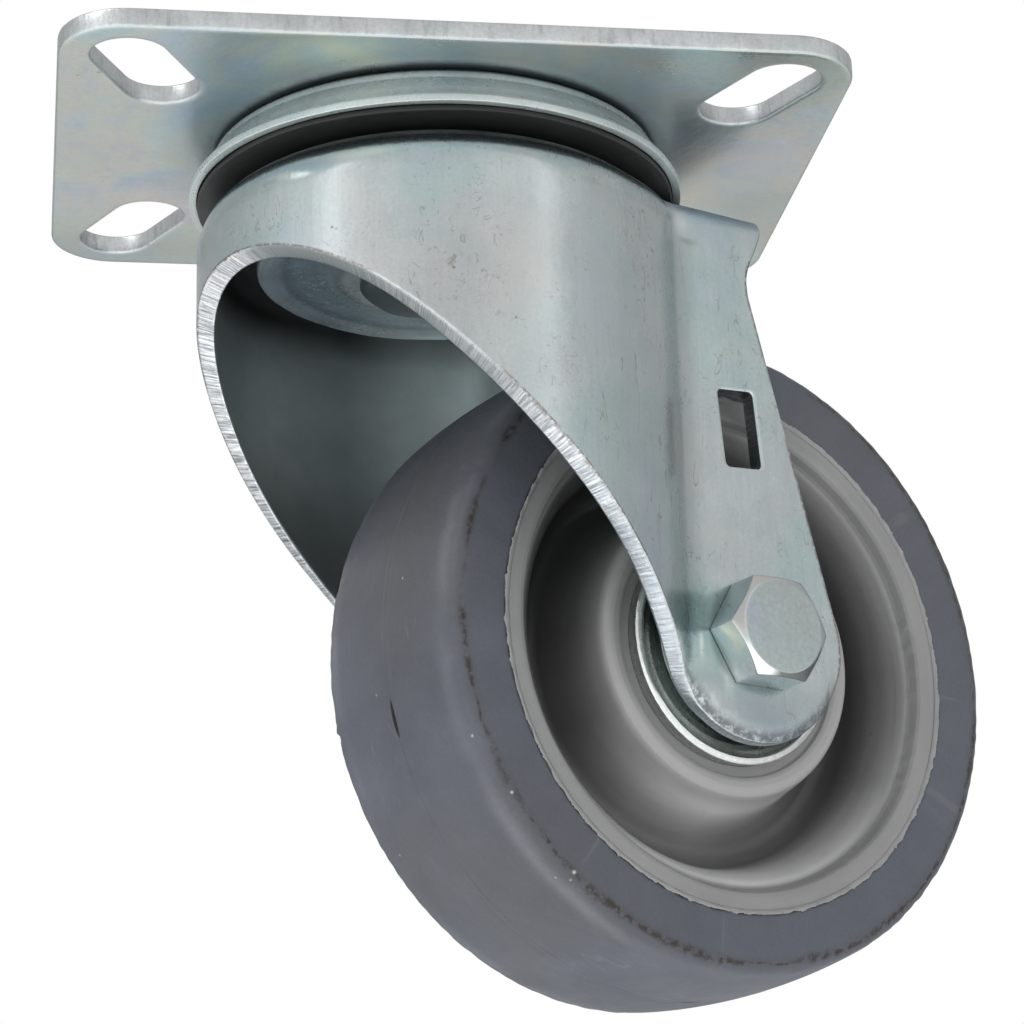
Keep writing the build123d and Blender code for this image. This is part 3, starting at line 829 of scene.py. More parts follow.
def build_dust_seal():
    s = [(-10.3, 28.4, 0.15), (-9.9, 30.5), (-9.3, 32.6), (-8.3, 34.6, 0.5), (-9.3, 35.8, 0.4), (-10.0, 35.95, 0.1),
         (-10.05, 36.0, 0.08), (-10.55, 36.0, 0.2), (-10.7, 35.85, 0.12), (-10.7, 28.4, 0.15)]
    a = ring_noise(21, 2, 7)

    def wob(al, r, t):
        return (0.03 * a(t), -0.03 + 0.03 * a(t + 1)) if r > 35 else (0.0, 0.0)
    return lathe("dust_seal_lip", subdivide(rounded(s, seg=3), 0.6), "z", 288, wob)


def build_lower_race():
    ball = [(-16.4 - 3.22 * math.sin(t), 20 + 3.22 * math.cos(t)) for t in np.linspace(math.radians(53.8), math.radians(126.2), 15)]
    s = [(-4.8, 6.0), (-4.8, 8.0), (-17.9, 8.0, 1.0), (-19.0, 9.1, 0.8)] + ball[::-1] + \
        [(-19.0, 26.3, 0.5), (-19.7, 27.0, 0.5), (-20.9, 27.0, 0.3), (-21.2, 26.7, 0.3), (-21.2, 25.0, 0.3),
         (-20.85, 23.6, 0.4), (-20.9, 22.2, 0.4), (-21.25, 16.4, 0.4), (-22.2, 14.8, 0.5), (-22.2, 6.0)]
    a, b = ring_noise(31, 2, 8), ring_noise(32, 9, 40)

    def wob(al, r, t):
        if al < -20 and r > 12:
            return 0.035 * a(t) + 0.015 * b(t), 0.0
        return 0.0, 0.0
    return lathe("lower_race_disc", subdivide(rounded(s, seg=3), 0.8), "z", 256, wob)


def build_king_pin():
    s = [(0.0, 0.0), (0.0, 7.4, 0.12), (-1.4, 6.0, 0.2), (-22.2, 6.0), (-22.2, 11.5, 0.15),
         (-23.3, 11.5, 0.5), (-24.2, 10.6, 0.7), (-24.8, 8.0, 2.5), (-25.1, 0.0)]
    a = ring_noise(41, 3, 9)
    # struck end of the pin: a shallow dish with a raised rim
    s = [(-0.28, 0.0), (-0.25, 3.2, 1.0), (-0.02, 5.2, 0.8)] + s[1:]

    def wob(al, r, t):
        if al < -22 and r > 9:
            return 0.03 * a(t), 0.05 * a(t + 2) - 0.05
        if al > -0.6 and r > 4:
            return 0.0, 0.03 * a(t) - 0.03
        return 0.0, 0.0
    s = rounded(s, seg=4, closed=False)
    return lathe("king_pin_headed", subdivide(s, 0.9, closed=False), "z", 160, wob, closed=False)


def build_cup(name, side, seed):
    ball = [(13.5 - 3.22 * math.cos(t), 12 + 3.22 * math.sin(t)) for t in np.linspace(math.radians(22), math.radians(126), 14)]
    s = [(8.5, 12.6), (10.2, 13.2)] + ball[1:-1] + [(16.1, 14.0), (16.75, 13.6), (16.85, 13.0), (16.85, 11.2, 0.12), (17.2, 11.2, 0.12),
         (17.2, 13.4, 1.2), (17.35, 14.5, 0.8), (17.8, 15.5, 0.8), (18.35, 16.15, 0.5), (18.75, 16.4, 0.2),
         (19.0, 16.55, 0.25), (19.12, 16.95, 0.4), (18.95, 17.5, 0.35), (18.6, 17.8, 0.3),
         (18.1, 17.8, 0.2), (17.7, 17.5), (8.5, 17.5)]
    a, b = ring_noise(seed, 2, 9), ring_noise(seed + 1, 30, 90)

    def wob(al, r, t):
        if abs(al) > 17.9:
            return side * (0.04 * a(t) - 0.03 + 0.006 * b(t)), 0.008 * b(t + 1)
        return 0.0, 0.0
    return lathe(name, flipped(subdivide(rounded(s, seg=3), 0.6), side), "a", 288, wob)


def build_cover(name, side):
    s = [(19.9, 5.1), (19.9, 10.6), (19.65, 14.2), (19.65, 14.55, 0.06), (20.15, 14.55, 0.14),
         (21.3, 11.8, 0.35), (21.36, 9.0), (21.36, 5.1, 0.1)]
    return lathe(name, flipped(subdivide(rounded(s, seg=3), 0.5), side), "a", 256)


def hub_side():
    pts = [(8.5, 14.0), (8.5, 17.5), (16.4, 17.5, 0.1), (16.6, 19.2, 0.35), (17.2, 19.42, 0.2), (17.5, 20.05, 0.5),
           (17.62, 20.9, 0.8), (17.45, 21.6, 0.6), (16.9, 22.15, 0.3)]
    web = [tuple(p) for p in resample(catmull([(16.75, 22.25), (15.9, 22.6), (14.0, 23.0), (11.0, 23.6), (8.0, 24.3), (6.0, 25.0),
                                               (4.6, 26.0), (3.8, 27.6), (4.3, 29.3), (5.8, 30.5), (8.0, 31.1), (10.5, 31.8),
                                               (12.6, 32.7), (13.9, 33.6), (14.8, 34.4)]), 0.6)]
    rim = [(15.15, 34.95, 0.3), (15.38, 35.42, 0.06), (15.9, 35.75, 0.3), (16.95, 36.15, 0.35), (17.42, 36.5, 0.4), (17.6, 37.1, 0.4),
           (17.58, 38.9, 0.3), (17.62, 39.5)]
    return pts + web + rim


def build_hub():
    one = subdivide(rounded(hub_side(), seg=3, closed=False), 0.9, closed=False)
    section = [(0.0, 14.0)] + one + [(d, 39.5) for d in np.linspace(15, -15, 9)] + [(-d, r) for d, r in one[::-1]]
    na, nb = ring_noise(51, 2, 6), ring_noise(52, 14, 60, 40)
    nc, nd = ring_noise(53, 60, 220, 60), ring_noise(54, 2, 9)
    rnd = random.Random(5)
    back = [(rnd.uniform(0, 2 * math.pi), rnd.uniform(0.02, 0.07), rnd.uniform(0.2, 0.5)) for _ in range(6)]

    def wob(al, r, t):
        if abs(al) < 14.0 or r < 33:
            return 0.0, 0.0
        sg = 1.0 if al > 0 else -1.0
        tt = t if al > 0 else t + 1.7
        dr = da = 0.0
        # rough crumbs left in the crease
        foot = math.exp(-((r - 35.75) / 0.35) ** 2)
        if foot > 0.01:
            for c, w, h in (CRUMBS if al > 0 else back):
                k = bump_at(t, c, w)
                if k > 0.02:
                    da += foot * h * k * max(0.0, 0.45 + 0.75 * nc(tt))
            da += foot * 0.02 * nb(tt)
        if 34.2 < r < 36.9:
            dr += 0.05 * na(tt)
        if r > 36.4:
            da += 0.02 * na(tt) - 0.01
        return sg * da, dr
    return lathe("hub_moulded", section, "a", 400, wob)


def build_flash(name, side, seed):
    """Thin torn skin of plastic that laps from the hub rim onto the tyre."""
    s = [(17.50, 39.0), (17.655, 39.0), (17.70, 39.2), (17.80, 39.42), (17.83, 39.58), (17.80, 39.72), (17.68, 39.74), (17.50, 39.62)]
    n0, n1, n2 = ring_noise(seed, 3, 12), ring_noise(seed + 1, 30, 110, 60), ring_noise(seed + 2, 120, 420, 90)
    rnd = random.Random(seed + 3)
    teeth = TEETH if side > 0 else [(rnd.uniform(0, 2 * math.pi), rnd.uniform(0.004, 0.012), rnd.uniform(0.25, 0.6)) for _ in range(16)]
    prof = {}

    def wob(al, r, t):
        key = round(t, 6)
        if key not in prof:
            # saw-like edge: a noise that is cut off sharply on one side
            e = 0.05 * n0(t) + 0.045 * n1(t) + 0.035 * n2(t)
            for c, w, h in teeth:
                d = (t - c + math.pi) % (2 * math.pi) - math.pi
                if -w < d < 2.5 * w:
                    e += 0.75 * h * (1 - d / (2.5 * w) if d > 0 else 1 + d / w)
            prof[key] = e
        e = prof[key]
        if r > 39.3:
            return side * 0.05 * n1(t + 1), e
        return 0.0, 0.0
    return lathe(name, flipped(s, side), "a", 900, wob)


def build_tyre():
    half = arc3((0.0, 49.5), (8.0, 49.2243), (15.9, 48.4), 16)
    right = [(d, r) for d, r in half[1:-1]]
    corner = arc3((15.9, 48.4), (17.15, 47.75), (17.7, 46.4), 10)
    side = [(17.7, 44.6), (17.72, 43.0), (17.7, 41.4), (17.7, 40.3), (17.62, 39.75), (17.35, 39.5)]
    one = [(0.28, 49.49), (0.55, 49.485), (0.9, 49.48)] + right + corner + side
    section = [(0.0, 49.53)] + one + [(d, 39.5) for d in np.linspace(14, -14, 7)] + [(-d, r) for d, r in one[::-1]]
    section = subdivide(section, 1.3)
    na, nb, nc = ring_noise(61, 2, 8), ring_noise(62, 20, 70), ring_noise(63, 60, 140, 40)
    ny = ring_noise(64, 1, 5)

    def wob(al, r, t):
        da = dr = 0.0
        if abs(al) < 1.2:
            da += 0.25 * ny(t)
            dr += 0.02 * nb(t) * math.exp(-(al / 0.4) ** 2)
        if r > 48.2:
            dr += -0.03 + 0.03 * na(t)
        if 46.8 < r < 48.6 and abs(al) > 15.5:
            dr += -0.03 + 0.03 * nb(t) + 0.02 * nc(t)
        # knife cut in the tread and a nick at the far shoulder
        if abs(al - 0.35) < 0.5 and r > 48.5:
            k = (t - CUT_T) / CUT_L
            k = (k + 25 * math.pi) % (2 * math.pi / CUT_L) if abs(k) > 40 else k
            if abs(k) < 1:
                dr -= 0.30 * (1 - k * k) * math.exp(-((al - 0.35) / 0.22) ** 2)
        if al < -14.5 and r > 47:
            dr += 0.35 * bump_at(t, math.radians(-167.4), 0.008) - 0.30 * bump_at(t, math.radians(-166.2), 0.008)
        return da, dr
    ob = lathe("tyre_moulded", section, "a", 560, wob)
    return ob


CUT_T, CUT_L = math.radians(-165.0), math.radians(3.6)
CRUMBS = [(0.456, 0.022, 0.55), (0.30, 0.02, 0.3), (0.245, 0.03, 0.45), (0.15, 0.03, 0.35), (0.05, 0.02, 0.3), (-0.06, 0.03, 0.4),
          (-0.27, 0.03, 0.5), (-0.36, 0.02, 0.35), (-0.455, 0.025, 0.7), (-0.92, 0.05, 0.35), (-1.05, 0.03, 0.25)]
TEETH = [(-3.116, 0.006, 0.30), (3.009, 0.007, 0.45), (2.86, 0.006, 0.3), (-2.38, 0.005, 0.22), (-2.251, 0.006, 0.35), (-2.145, 0.006, 0.42),
         (-1.97, 0.005, 0.25), (-1.81, 0.006, 0.45), (-1.60, 0.005, 0.3), (-1.29, 0.006, 0.25), (-1.02, 0.005, 0.3), (-0.74, 0.006, 0.35),
         (-0.565, 0.006, 0.30), (-0.30, 0.005, 0.25), (0.10, 0.006, 0.25), (0.258, 0.006, 0.35), (0.62, 0.005, 0.3)]


def build_bolt():
    head = build_hex("axle_bolt_detail", 15.0, 24.16, 30.56, 7.0)
    s = [(24.3, 0.0), (24.3, 5.0), (-31.0, 5.0, 0.05), (-31.0, 0.0)]
    shank = lathe("shank", subdivide(s, 4.0, closed=False), "a", 96, closed=False)
    thread = build_thread("thread", -31.0, -36.5)
    return join([head, shank, thread])


def build_nut():
    ob = build_hex("lock_nut_detail", 15.0, -24.16, -32.16, 7.3, chamfer_low=True, bore=5.02, low_r=7.2)
    s = [(-24.2, 5.02), (-24.2, 6.6), (-32.0, 7.25), (-32.35, 7.22, 0.2), (-33.6, 7.0, 0.5), (-34.2, 6.55, 0.35),
         (-34.36, 6.1, 0.2), (-34.3, 5.72, 0.1), (-33.58, 5.72, 0.05), (-33.56, 6.2), (-31.16, 6.2), (-31.16, 5.02)]
    collar = lathe("collar", subdivide(rounded(s, seg=3), 0.6), "a", 128)
    return join([ob, collar])


def join(obs):
    base = obs[0]
    bm = bmesh.new()
    for o in obs:
        bm.from_mesh(o.data)
    bm.to_mesh(base.data)
    bm.free()
    base.data.polygons.foreach_set("use_smooth", [True] * len(base.data.polygons))
    for o in obs[1:]:
        me = o.data
        bpy.data.objects.remove(o)
        bpy.data.meshes.remove(me)
    return base


# ------------------------------------------------------------------ materials
class Mat:
    """A small helper round a node tree with one Principled shader."""

    def __init__(self, name, **fixed):
        self.m = bpy.data.materials.new(name)
        self.m.use_nodes = True
        self.t = self.m.node_tree
        self.t.nodes.clear()
        self.out = self.t.nodes.new("ShaderNodeOutputMaterial")
        self.b = self.t.nodes.new("ShaderNodeBsdfPrincipled")
        self.t.links.new(self.b.outputs[0], self.out.inputs[0])
        for k, v in fixed.items():
            self.b.inputs[k.replace("_", " ")].default_value = v
        tc = self.t.nodes.new("ShaderNodeTexCoord")
        self.pos = tc.outputs["Object"]

    def link(self, a, socket):
        if hasattr(a, "is_output"):
            self.t.links.new(a, socket)
        else:
            socket.default_value = a

    def math(self, op, *args, clamp=False):
        n = self.t.nodes.new("ShaderNodeMath")
        n.operation = op
        n.use_clamp = clamp
        for i, a in enumerate(args):
            self.link(a, n.inputs[i])
        return n.outputs[0]

    def vmath(self, op, a, b=None, scale=None):
        n = self.t.nodes.new("ShaderNodeVectorMath")
        n.operation = op
        self.link(a, n.inputs[0])
        if b is not None:
            self.link(b, n.inputs[1])
        if scale is not None:
            self.link(scale, n.inputs["Scale"])
        return n.outputs["Value"] if op in ("DOT_PRODUCT", "LENGTH", "DISTANCE") else n.outputs[0]

    def combine(self, x, y, z):
        n = self.t.nodes.new("ShaderNodeCombineXYZ")
        for i, a in enumerate((x, y, z)):
            self.link(a, n.inputs[i])
        return n.outputs[0]

    def split(self, v):
        n = self.t.nodes.new("ShaderNodeSeparateXYZ")
        self.link(v, n.inputs[0])
        return n.outputs

    def scaled(self, v, sx, sy, sz):
        return self.vmath("MULTIPLY", v, (sx, sy, sz))

    def noise(self, v, scale, detail=2.0, rough=0.5, dist=0.0, seed=0.0):
        n = self.t.nodes.new("ShaderNodeTexNoise")
        n.noise_dimensions = "4D"
        self.link(v, n.inputs["Vector"])
        n.inputs["W"].default_value = seed
        n.inputs["Scale"].default_value = scale
        n.inputs["Detail"].default_value = detail
        n.inputs["Roughness"].default_value = rough
        n.inputs["Distortion"].default_value = dist
        return n.outputs["Fac"]

    def voronoi(self, v, scale, feature="F1", rand=1.0):
        n = self.t.nodes.new("ShaderNodeTexVoronoi")
        n.feature = feature
        self.link(v, n.inputs["Vector"])
        n.inputs["Scale"].default_value = scale
        n.inputs["Randomness"].default_value = rand
        return n

    def ramp(self, f, stops, interp="LINEAR"):
        n = self.t.nodes.new("ShaderNodeValToRGB")
        self.link(f, n.inputs[0])
        cr = n.color_ramp
        cr.interpolation = interp
        while len(cr.elements) > 1:
            cr.elements.remove(cr.elements[-1])
        first = True
        for p, c in stops:
            e = cr.elements[0] if first else cr.elements.new(p)
            e.position = p
            if not isinstance(c, (tuple, list)):
                c = (c, c, c)
            e.color = tuple(c)[:3] + (1.0,)
            first = False
        return n.outputs[0]

    def smooth(self, f, lo, hi, a=0.0, b=1.0):
        n = self.t.nodes.new("ShaderNodeMapRange")
        n.interpolation_type = "SMOOTHSTEP"
        self.link(f, n.inputs[0])
        n.inputs[1].default_value = lo
        n.inputs[2].default_value = hi
        n.inputs[3].default_value = a
        n.inputs[4].default_value = b
        return n.outputs[0]

    def mix(self, f, a, b, mode="MIX"):
        n = self.t.nodes.new("ShaderNodeMix")
        n.data_type = "RGBA"
        n.blend_type = mode
        self.link(f, n.inputs[0])
        for k, c in ((6, a), (7, b)):
            if isinstance(c, (tuple, list)):
                c = tuple(c)[:3] + (1.0,)
            self.link(c, n.inputs[k])
        return n.outputs[2]

    def bump(self, height, strength, dist, normal=None):
        n = self.t.nodes.new("ShaderNodeBump")
        n.inputs["Strength"].default_value = strength
        n.inputs["Distance"].default_value = dist
        self.link(height, n.inputs["Height"])
        if normal is not None:
            self.link(normal, n.inputs["Normal"])
        return n.outputs[0]

    def color(self, s):
        self.link(s, self.b.inputs["Base Color"])

    def rough(self, s):
        self.link(s, self.b.inputs["Roughness"])

    def normal(self, s):
        self.link(s, self.b.inputs["Normal"])

    def blob(self, at, size, power=1.0):
        """Soft patch at a point given in mm, with its half widths in mm."""
        d = self.vmath("SUBTRACT", self.pos, tuple(c * MM for c in at))
        d = self.vmath("DIVIDE", d, tuple(c * MM for c in size))
        q = self.vmath("DOT_PRODUCT", d, d)
        return self.math("POWER", 2.718, self.math("MULTIPLY", q, -power))

    def turned_to(self, angle, r, al, at_deg, at_al, long_mm, wide_mm, rr=49.5):
        """Soft patch on the tyre at an angle and a place along the axle."""
        da = self.math("SUBTRACT", angle, math.radians(at_deg))
        da = self.math("WRAP", da, math.pi, -math.pi)
        x = self.math("DIVIDE", self.math("MULTIPLY", da, rr * MM), long_mm * MM)
        y = self.math("DIVIDE", self.math("SUBTRACT", al, at_al * MM), wide_mm * MM)
        q = self.math("ADD", self.math("MULTIPLY", x, x), self.math("MULTIPLY", y, y))
        return self.math("POWER", 2.718, self.math("MULTIPLY", q, -1.0))

    def wheel_polar(self):
        """(along, radius, angle) about the axle from object coordinates."""
        q = self.vmath("SUBTRACT", self.pos, tuple(c * MM for c in HUB_C))
        al = self.vmath("DOT_PRODUCT", q, tuple(AXLE))
        a = self.vmath("DOT_PRODUCT", q, tuple(TRAIL))
        b = self.vmath("DOT_PRODUCT", q, tuple(UP))
        r = self.math("SQRT", self.math("ADD", self.math("MULTIPLY", a, a), self.math("MULTIPLY", b, b)))
        return al, r, self.math("ARCTAN2", b, a)

    def head_polar(self):
        x, y, z = self.split(self.pos)
        r = self.math("SQRT", self.math("ADD", self.math("MULTIPLY", x, x), self.math("MULTIPLY", y, y)))
        return z, r, self.math("ARCTAN2", y, x)


def zinc(name, tint=(0.58, 0.662, 0.668), dark=1.0, rough=0.27, streak=1.0, stain=0.5, irid=1.0, aniso=None,
         spots=0.5, seed=0.0, extra=None):
    """Bright zinc plating: faint hue drift, cloudy passivation, drawn scratches."""
    m = Mat(name, Metallic=1.0)
    p = m.pos
    cloud = m.noise(p, 38.0, 4.0, 0.55, 0.4, seed)
    hue = m.noise(p, 55.0, 2.0, 0.5, 0.8, seed + 3)
    base = m.ramp(hue, [(0.30, (tint[0] * 1.05, tint[1] * 0.97, tint[2] * 0.98)), (0.45, tint),
                        (0.58, (tint[0] * 0.95, tint[1] * 1.02, tint[2] * 0.99)),
                        (0.72, (tint[0] * 0.96, tint[1] * 0.99, tint[2] * 1.06))])
    base = m.mix(1.0 - irid * 0.0, tint, base) if irid >= 1 else m.mix(irid, tint, base)
    cl = m.ramp(cloud, [(0.25, 0.88 * dark), (0.5, 1.0 * dark), (0.75, 1.05 * dark)])
    base = m.mix(1.0, base, cl, "MULTIPLY")
    fine = m.noise(p, 1500.0, 3.0, 0.6, 0.0, seed + 5)
    fl = m.ramp(fine, [(0.3, 0.93), (0.55, 1.0), (0.8, 1.05)])
    base = m.mix(1.0, base, fl, "MULTIPLY")
    # drawn streaks run down the walls
    v = m.scaled(p, 1.0, 1.0, 0.035)
    st = m.noise(v, 900.0, 3.0, 0.55, 0.0, seed + 7)
    sl = m.ramp(st, [(0.36, 0.84), (0.48, 1.0), (0.62, 1.0), (0.72, 1.10)])
    base = m.mix(0.55 * streak, base, m.mix(1.0, base, sl, "MULTIPLY"))
    # brownish stains in patches
    sn = m.noise(m.scaled(p, 1.0, 1.0, 0.6), 120.0, 5.0, 0.65, 0.6, seed + 9)
    sm = m.smooth(sn, 0.60, 0.74)
    big = m.smooth(m.noise(p, 24.0, 1.0, 0.5, 0.0, seed + 11), 0.45, 0.62)
    f = m.math("MULTIPLY", m.math("MULTIPLY", sm, big), stain)
    base = m.mix(f, base, (tint[0] * 0.80, tint[1] * 0.70, tint[2] * 0.62))
    # small dark specks
    vo = m.voronoi(p, 210.0)
    sp = m.smooth(vo.outputs["Distance"], 0.055, 0.11, 1.0, 0.0)
    pick = m.smooth(m.noise(p, 60.0, 1.0, 0.5, 0.0, seed + 13), 0.55, 0.62)
    base = m.mix(m.math("MULTIPLY", m.math("MULTIPLY", sp, pick), spots), base, (0.16, 0.14, 0.11))
    if extra:
        base = extra(m, base)
    m.color(base)
    rr = m.ramp(m.noise(p, 70.0, 4.0, 0.6, 0.0, seed + 15), [(0.3, rough * 0.82), (0.7, rough * 1.22)])
    rr2 = m.math("ADD", rr, m.math("MULTIPLY", m.math("SUBTRACT", st, 0.5), 0.22 * streak))
    m.rough(m.math("MAXIMUM", m.math("ADD", rr2, m.math("MULTIPLY", f, 0.12)), 0.06))
    h1 = m.bump(m.noise(p, 260.0, 3.0, 0.6, 0.0, seed + 17), 0.16, 0.0006)
    h2 = m.bump(st, 0.14 * streak, 0.0002, h1)
    h3 = m.bump(fine, 0.10, 0.0002, h2)
    m.normal(h3)
    return m


def plate_patches(m, base):
    """Cloudy passivation on the plate: blue, straw and brown patches, and a
    painted contact shadow where the race meets it underneath."""
    for (x, y), (sx, sy), col, k in PLATE_PATCHES:
        base = m.mix(m.math("MULTIPLY", m.blob((x, y, -3.0), (sx, sy, 12.0)), k), base, col)
    h = m.noise(m.pos, 70.0, 4.0, 0.6, 0.8, 33.0)
    base = m.mix(1.0, base, m.ramp(h, [(0.30, (0.84, 0.93, 1.02)), (0.44, (0.98, 1.0, 1.0)), (0.58, (1.06, 1.01, 0.93)), (0.72, (0.91, 0.92, 1.03))]), "MULTIPLY")
    z, r, a = m.head_polar()
    # painted shade: a dark contact-shadow ring on the underside round the race, then a wider soft shade beyond it
    under = m.smooth(z, -0.0026, -0.0029)
    rg = m.noise(m.pos, 500.0, 3.0, 0.6, 0.0, 34.0)
    rr = m.math("ADD", r, m.math("MULTIPLY", m.math("SUBTRACT", rg, 0.5), 0.0016))
    ring = m.math("MULTIPLY", m.smooth(rr, 0.0338, 0.0366, 1.0, 0.0), under)
    base = m.mix(m.math("MULTIPLY", ring, 0.58), base, (0.08, 0.09, 0.10))
    soft = m.math("MULTIPLY", m.smooth(rr, 0.0350, 0.0430, 1.0, 0.0), under)
    return m.mix(m.math("MULTIPLY", soft, 0.34), base, (0.26, 0.31, 0.35))


PLATE_PATCHES = [((-36.0, -24.0), (7.0, 16.0), (0.36, 0.46, 0.53), 0.70), ((-36.0, -10.0), (5.0, 9.0), (0.40, 0.48, 0.53), 0.5),
                 ((-18.0, -37.0), (9.0, 5.0), (0.80, 0.82, 0.72), 0.70), ((-4.0, -39.0), (7.0, 6.0), (0.50, 0.60, 0.67), 0.6),
                 ((13.0, -40.0), (10.0, 7.0), (0.52, 0.53, 0.51), 0.6), ((26.0, -25.0), (6.0, 9.0), (0.42, 0.50, 0.57), 0.7),
                 ((39.0, -12.0), (6.0, 7.0), (0.54, 0.60, 0.68), 0.6), ((42.0, 3.0), (8.0, 10.0), (0.66, 0.64, 0.60), 0.7), ((49.0, -6.0), (5.0, 9.0), (0.60, 0.62, 0.70), 0.6),
                 ((-52.0, -4.0), (9.0, 26.0), (0.555, 0.585, 0.59), 0.6), ((-47.0, 36.0), (22.0, 9.0), (0.43, 0.475, 0.48), 0.7), ((52.0, 18.0), (7.0, 16.0), (0.47, 0.50, 0.51), 0.6)]
# (centre, half widths in mm, colour, strength). The first is a painted highlight on the flare, the second a painted
# shadow under it, the third a bluish painted reflection on the rear bend, the fourth darkens the leg's end, the next
# four round the bolt are painted reflections and shade of its head, and the last four are tints.
FORK_TINTS_AND_PAINTED_LIGHT = [((35.4, -9.9, -15.6), (2.0, 2.0, 2.3), (0.84, 0.88, 0.88), 0.85), ((37.0, -9.2, -18.4), (1.8, 1.8, 0.5), (0.36, 0.40, 0.41), 0.6),
                ((43.6, -6.0, -12.6), (9.0, 4.0, 1.5), (0.34, 0.44, 0.52), 0.75), ((47.5, -4.2, -91.5), (9.0, 5.0, 5.5), (0.39, 0.43, 0.47), 0.75),
                ((36.5, -9.6, -74.5), (2.6, 2.6, 4.5), (0.42, 0.56, 0.55), 0.55), ((36.4, -9.5, -81.4), (0.45, 0.45, 1.9), (0.95, 0.94, 0.86), 0.75),
                ((40.6, -7.4, -85.6), (1.1, 1.1, 2.9), (0.92, 0.93, 0.88), 0.55), ((37.6, -8.8, -79.0), (2.6, 2.6, 0.25), (0.30, 0.38, 0.39), 0.6),
                ((-29.4, -20.7, -17.5), (6.0, 6.0, 1.6), (0.42, 0.40, 0.38), 0.35), ((-24.5, -26.4, -28.5), (5.0, 5.0, 4.0), (0.50, 0.585, 0.66), 0.45),
                ((20.0, -30.0, -38.0), (6.0, 4.0, 12.0), (0.50, 0.59, 0.65), 0.35), ((8.0, -35.0, -33.0), (6.0, 4.0, 9.0), (0.62, 0.60, 0.585), 0.40)]


def bolt_tints_and_reflections(m, base):
    """Head: painted reflections on the chamfer, bright on one side and dark on
    another; straw and pink tints of the plating."""
    al, r, a = m.wheel_polar()
    s = m.math("SUBTRACT", m.math("ADD", al, m.math("MULTIPLY", m.math("SUBTRACT", r, 0.007), 0.6)), 0.03056)
    cone = m.math("MULTIPLY", m.smooth(s, -0.00028, -0.00010), m.smooth(r, 0.00690, 0.00705))
    flat = m.math("MULTIPLY", m.smooth(s, -0.00028, -0.00010, 1.0, 0.0), m.math("MULTIPLY", m.smooth(al, 0.0240, 0.0245), m.smooth(r, 0.00705, 0.0073)))
    rag = m.math("MULTIPLY", m.math("SUBTRACT", m.noise(m.pos, 700.0, 3.0, 0.6, 0.0, 44.0), 0.5), 0.5)

    def sector(deg, half):
        d = m.math("WRAP", m.math("SUBTRACT", a, math.radians(deg)), math.pi, -math.pi)
        d = m.math("ADD", m.math("ABSOLUTE", d), rag)
        return m.smooth(d, math.radians(half - 9), math.radians(half + 9), 1.0, 0.0)
    base = m.mix(m.math("MULTIPLY", m.math("MULTIPLY", cone, sector(135.0, 62.0)), 0.55), base, (0.62, 0.56, 0.55))
    # painted reflections on the chamfer: a bright sector low on the left, a dark sector low on the right
    base = m.mix(m.math("MULTIPLY", m.math("MULTIPLY", cone, sector(-128.0, 22.0)), 0.90), base, (0.99, 0.99, 0.98))
    base = m.mix(m.math("MULTIPLY", m.math("MULTIPLY", cone, sector(-62.0, 40.0)), 0.80), base, (0.13, 0.135, 0.14))
    base = m.mix(m.math("MULTIPLY", m.math("MULTIPLY", flat, sector(150.0, 28.0)), 0.45), base, (0.38, 0.47, 0.48))
    base = m.mix(m.math("MULTIPLY", m.math("MULTIPLY", flat, m.math("MULTIPLY", sector(-165.0, 16.0), m.smooth(al, 0.0262, 0.0285))), 0.55), base, (0.74, 0.74, 0.62))
    scr = hairs(m, m.pos, 420.0, 160.0, 45.0, 0.02, 0.48, 0.58)
    return m.mix(m.math("MULTIPLY", scr, 0.45), base, (0.30, 0.29, 0.28))


def hairs(m, v, scale, patch_scale, seed, width=0.014, lo=0.52, hi=0.62):
    """Thin curling marks in patches."""
    n = m.noise(v, scale, 2.0, 0.55, 1.2, seed)
    line = m.smooth(m.math("ABSOLUTE", m.math("SUBTRACT", n, 0.5)), 0.0, width, 1.0, 0.0)
    gate = m.smooth(m.noise(v, scale * 1.7, 2.0, 0.6, 0.0, seed + 1), 0.50, 0.56)
    patch = m.smooth(m.noise(v, patch_scale, 2.0, 0.55, 0.0, seed + 2), lo, hi)
    return m.math("MULTIPLY", m.math("MULTIPLY", line, gate), patch)


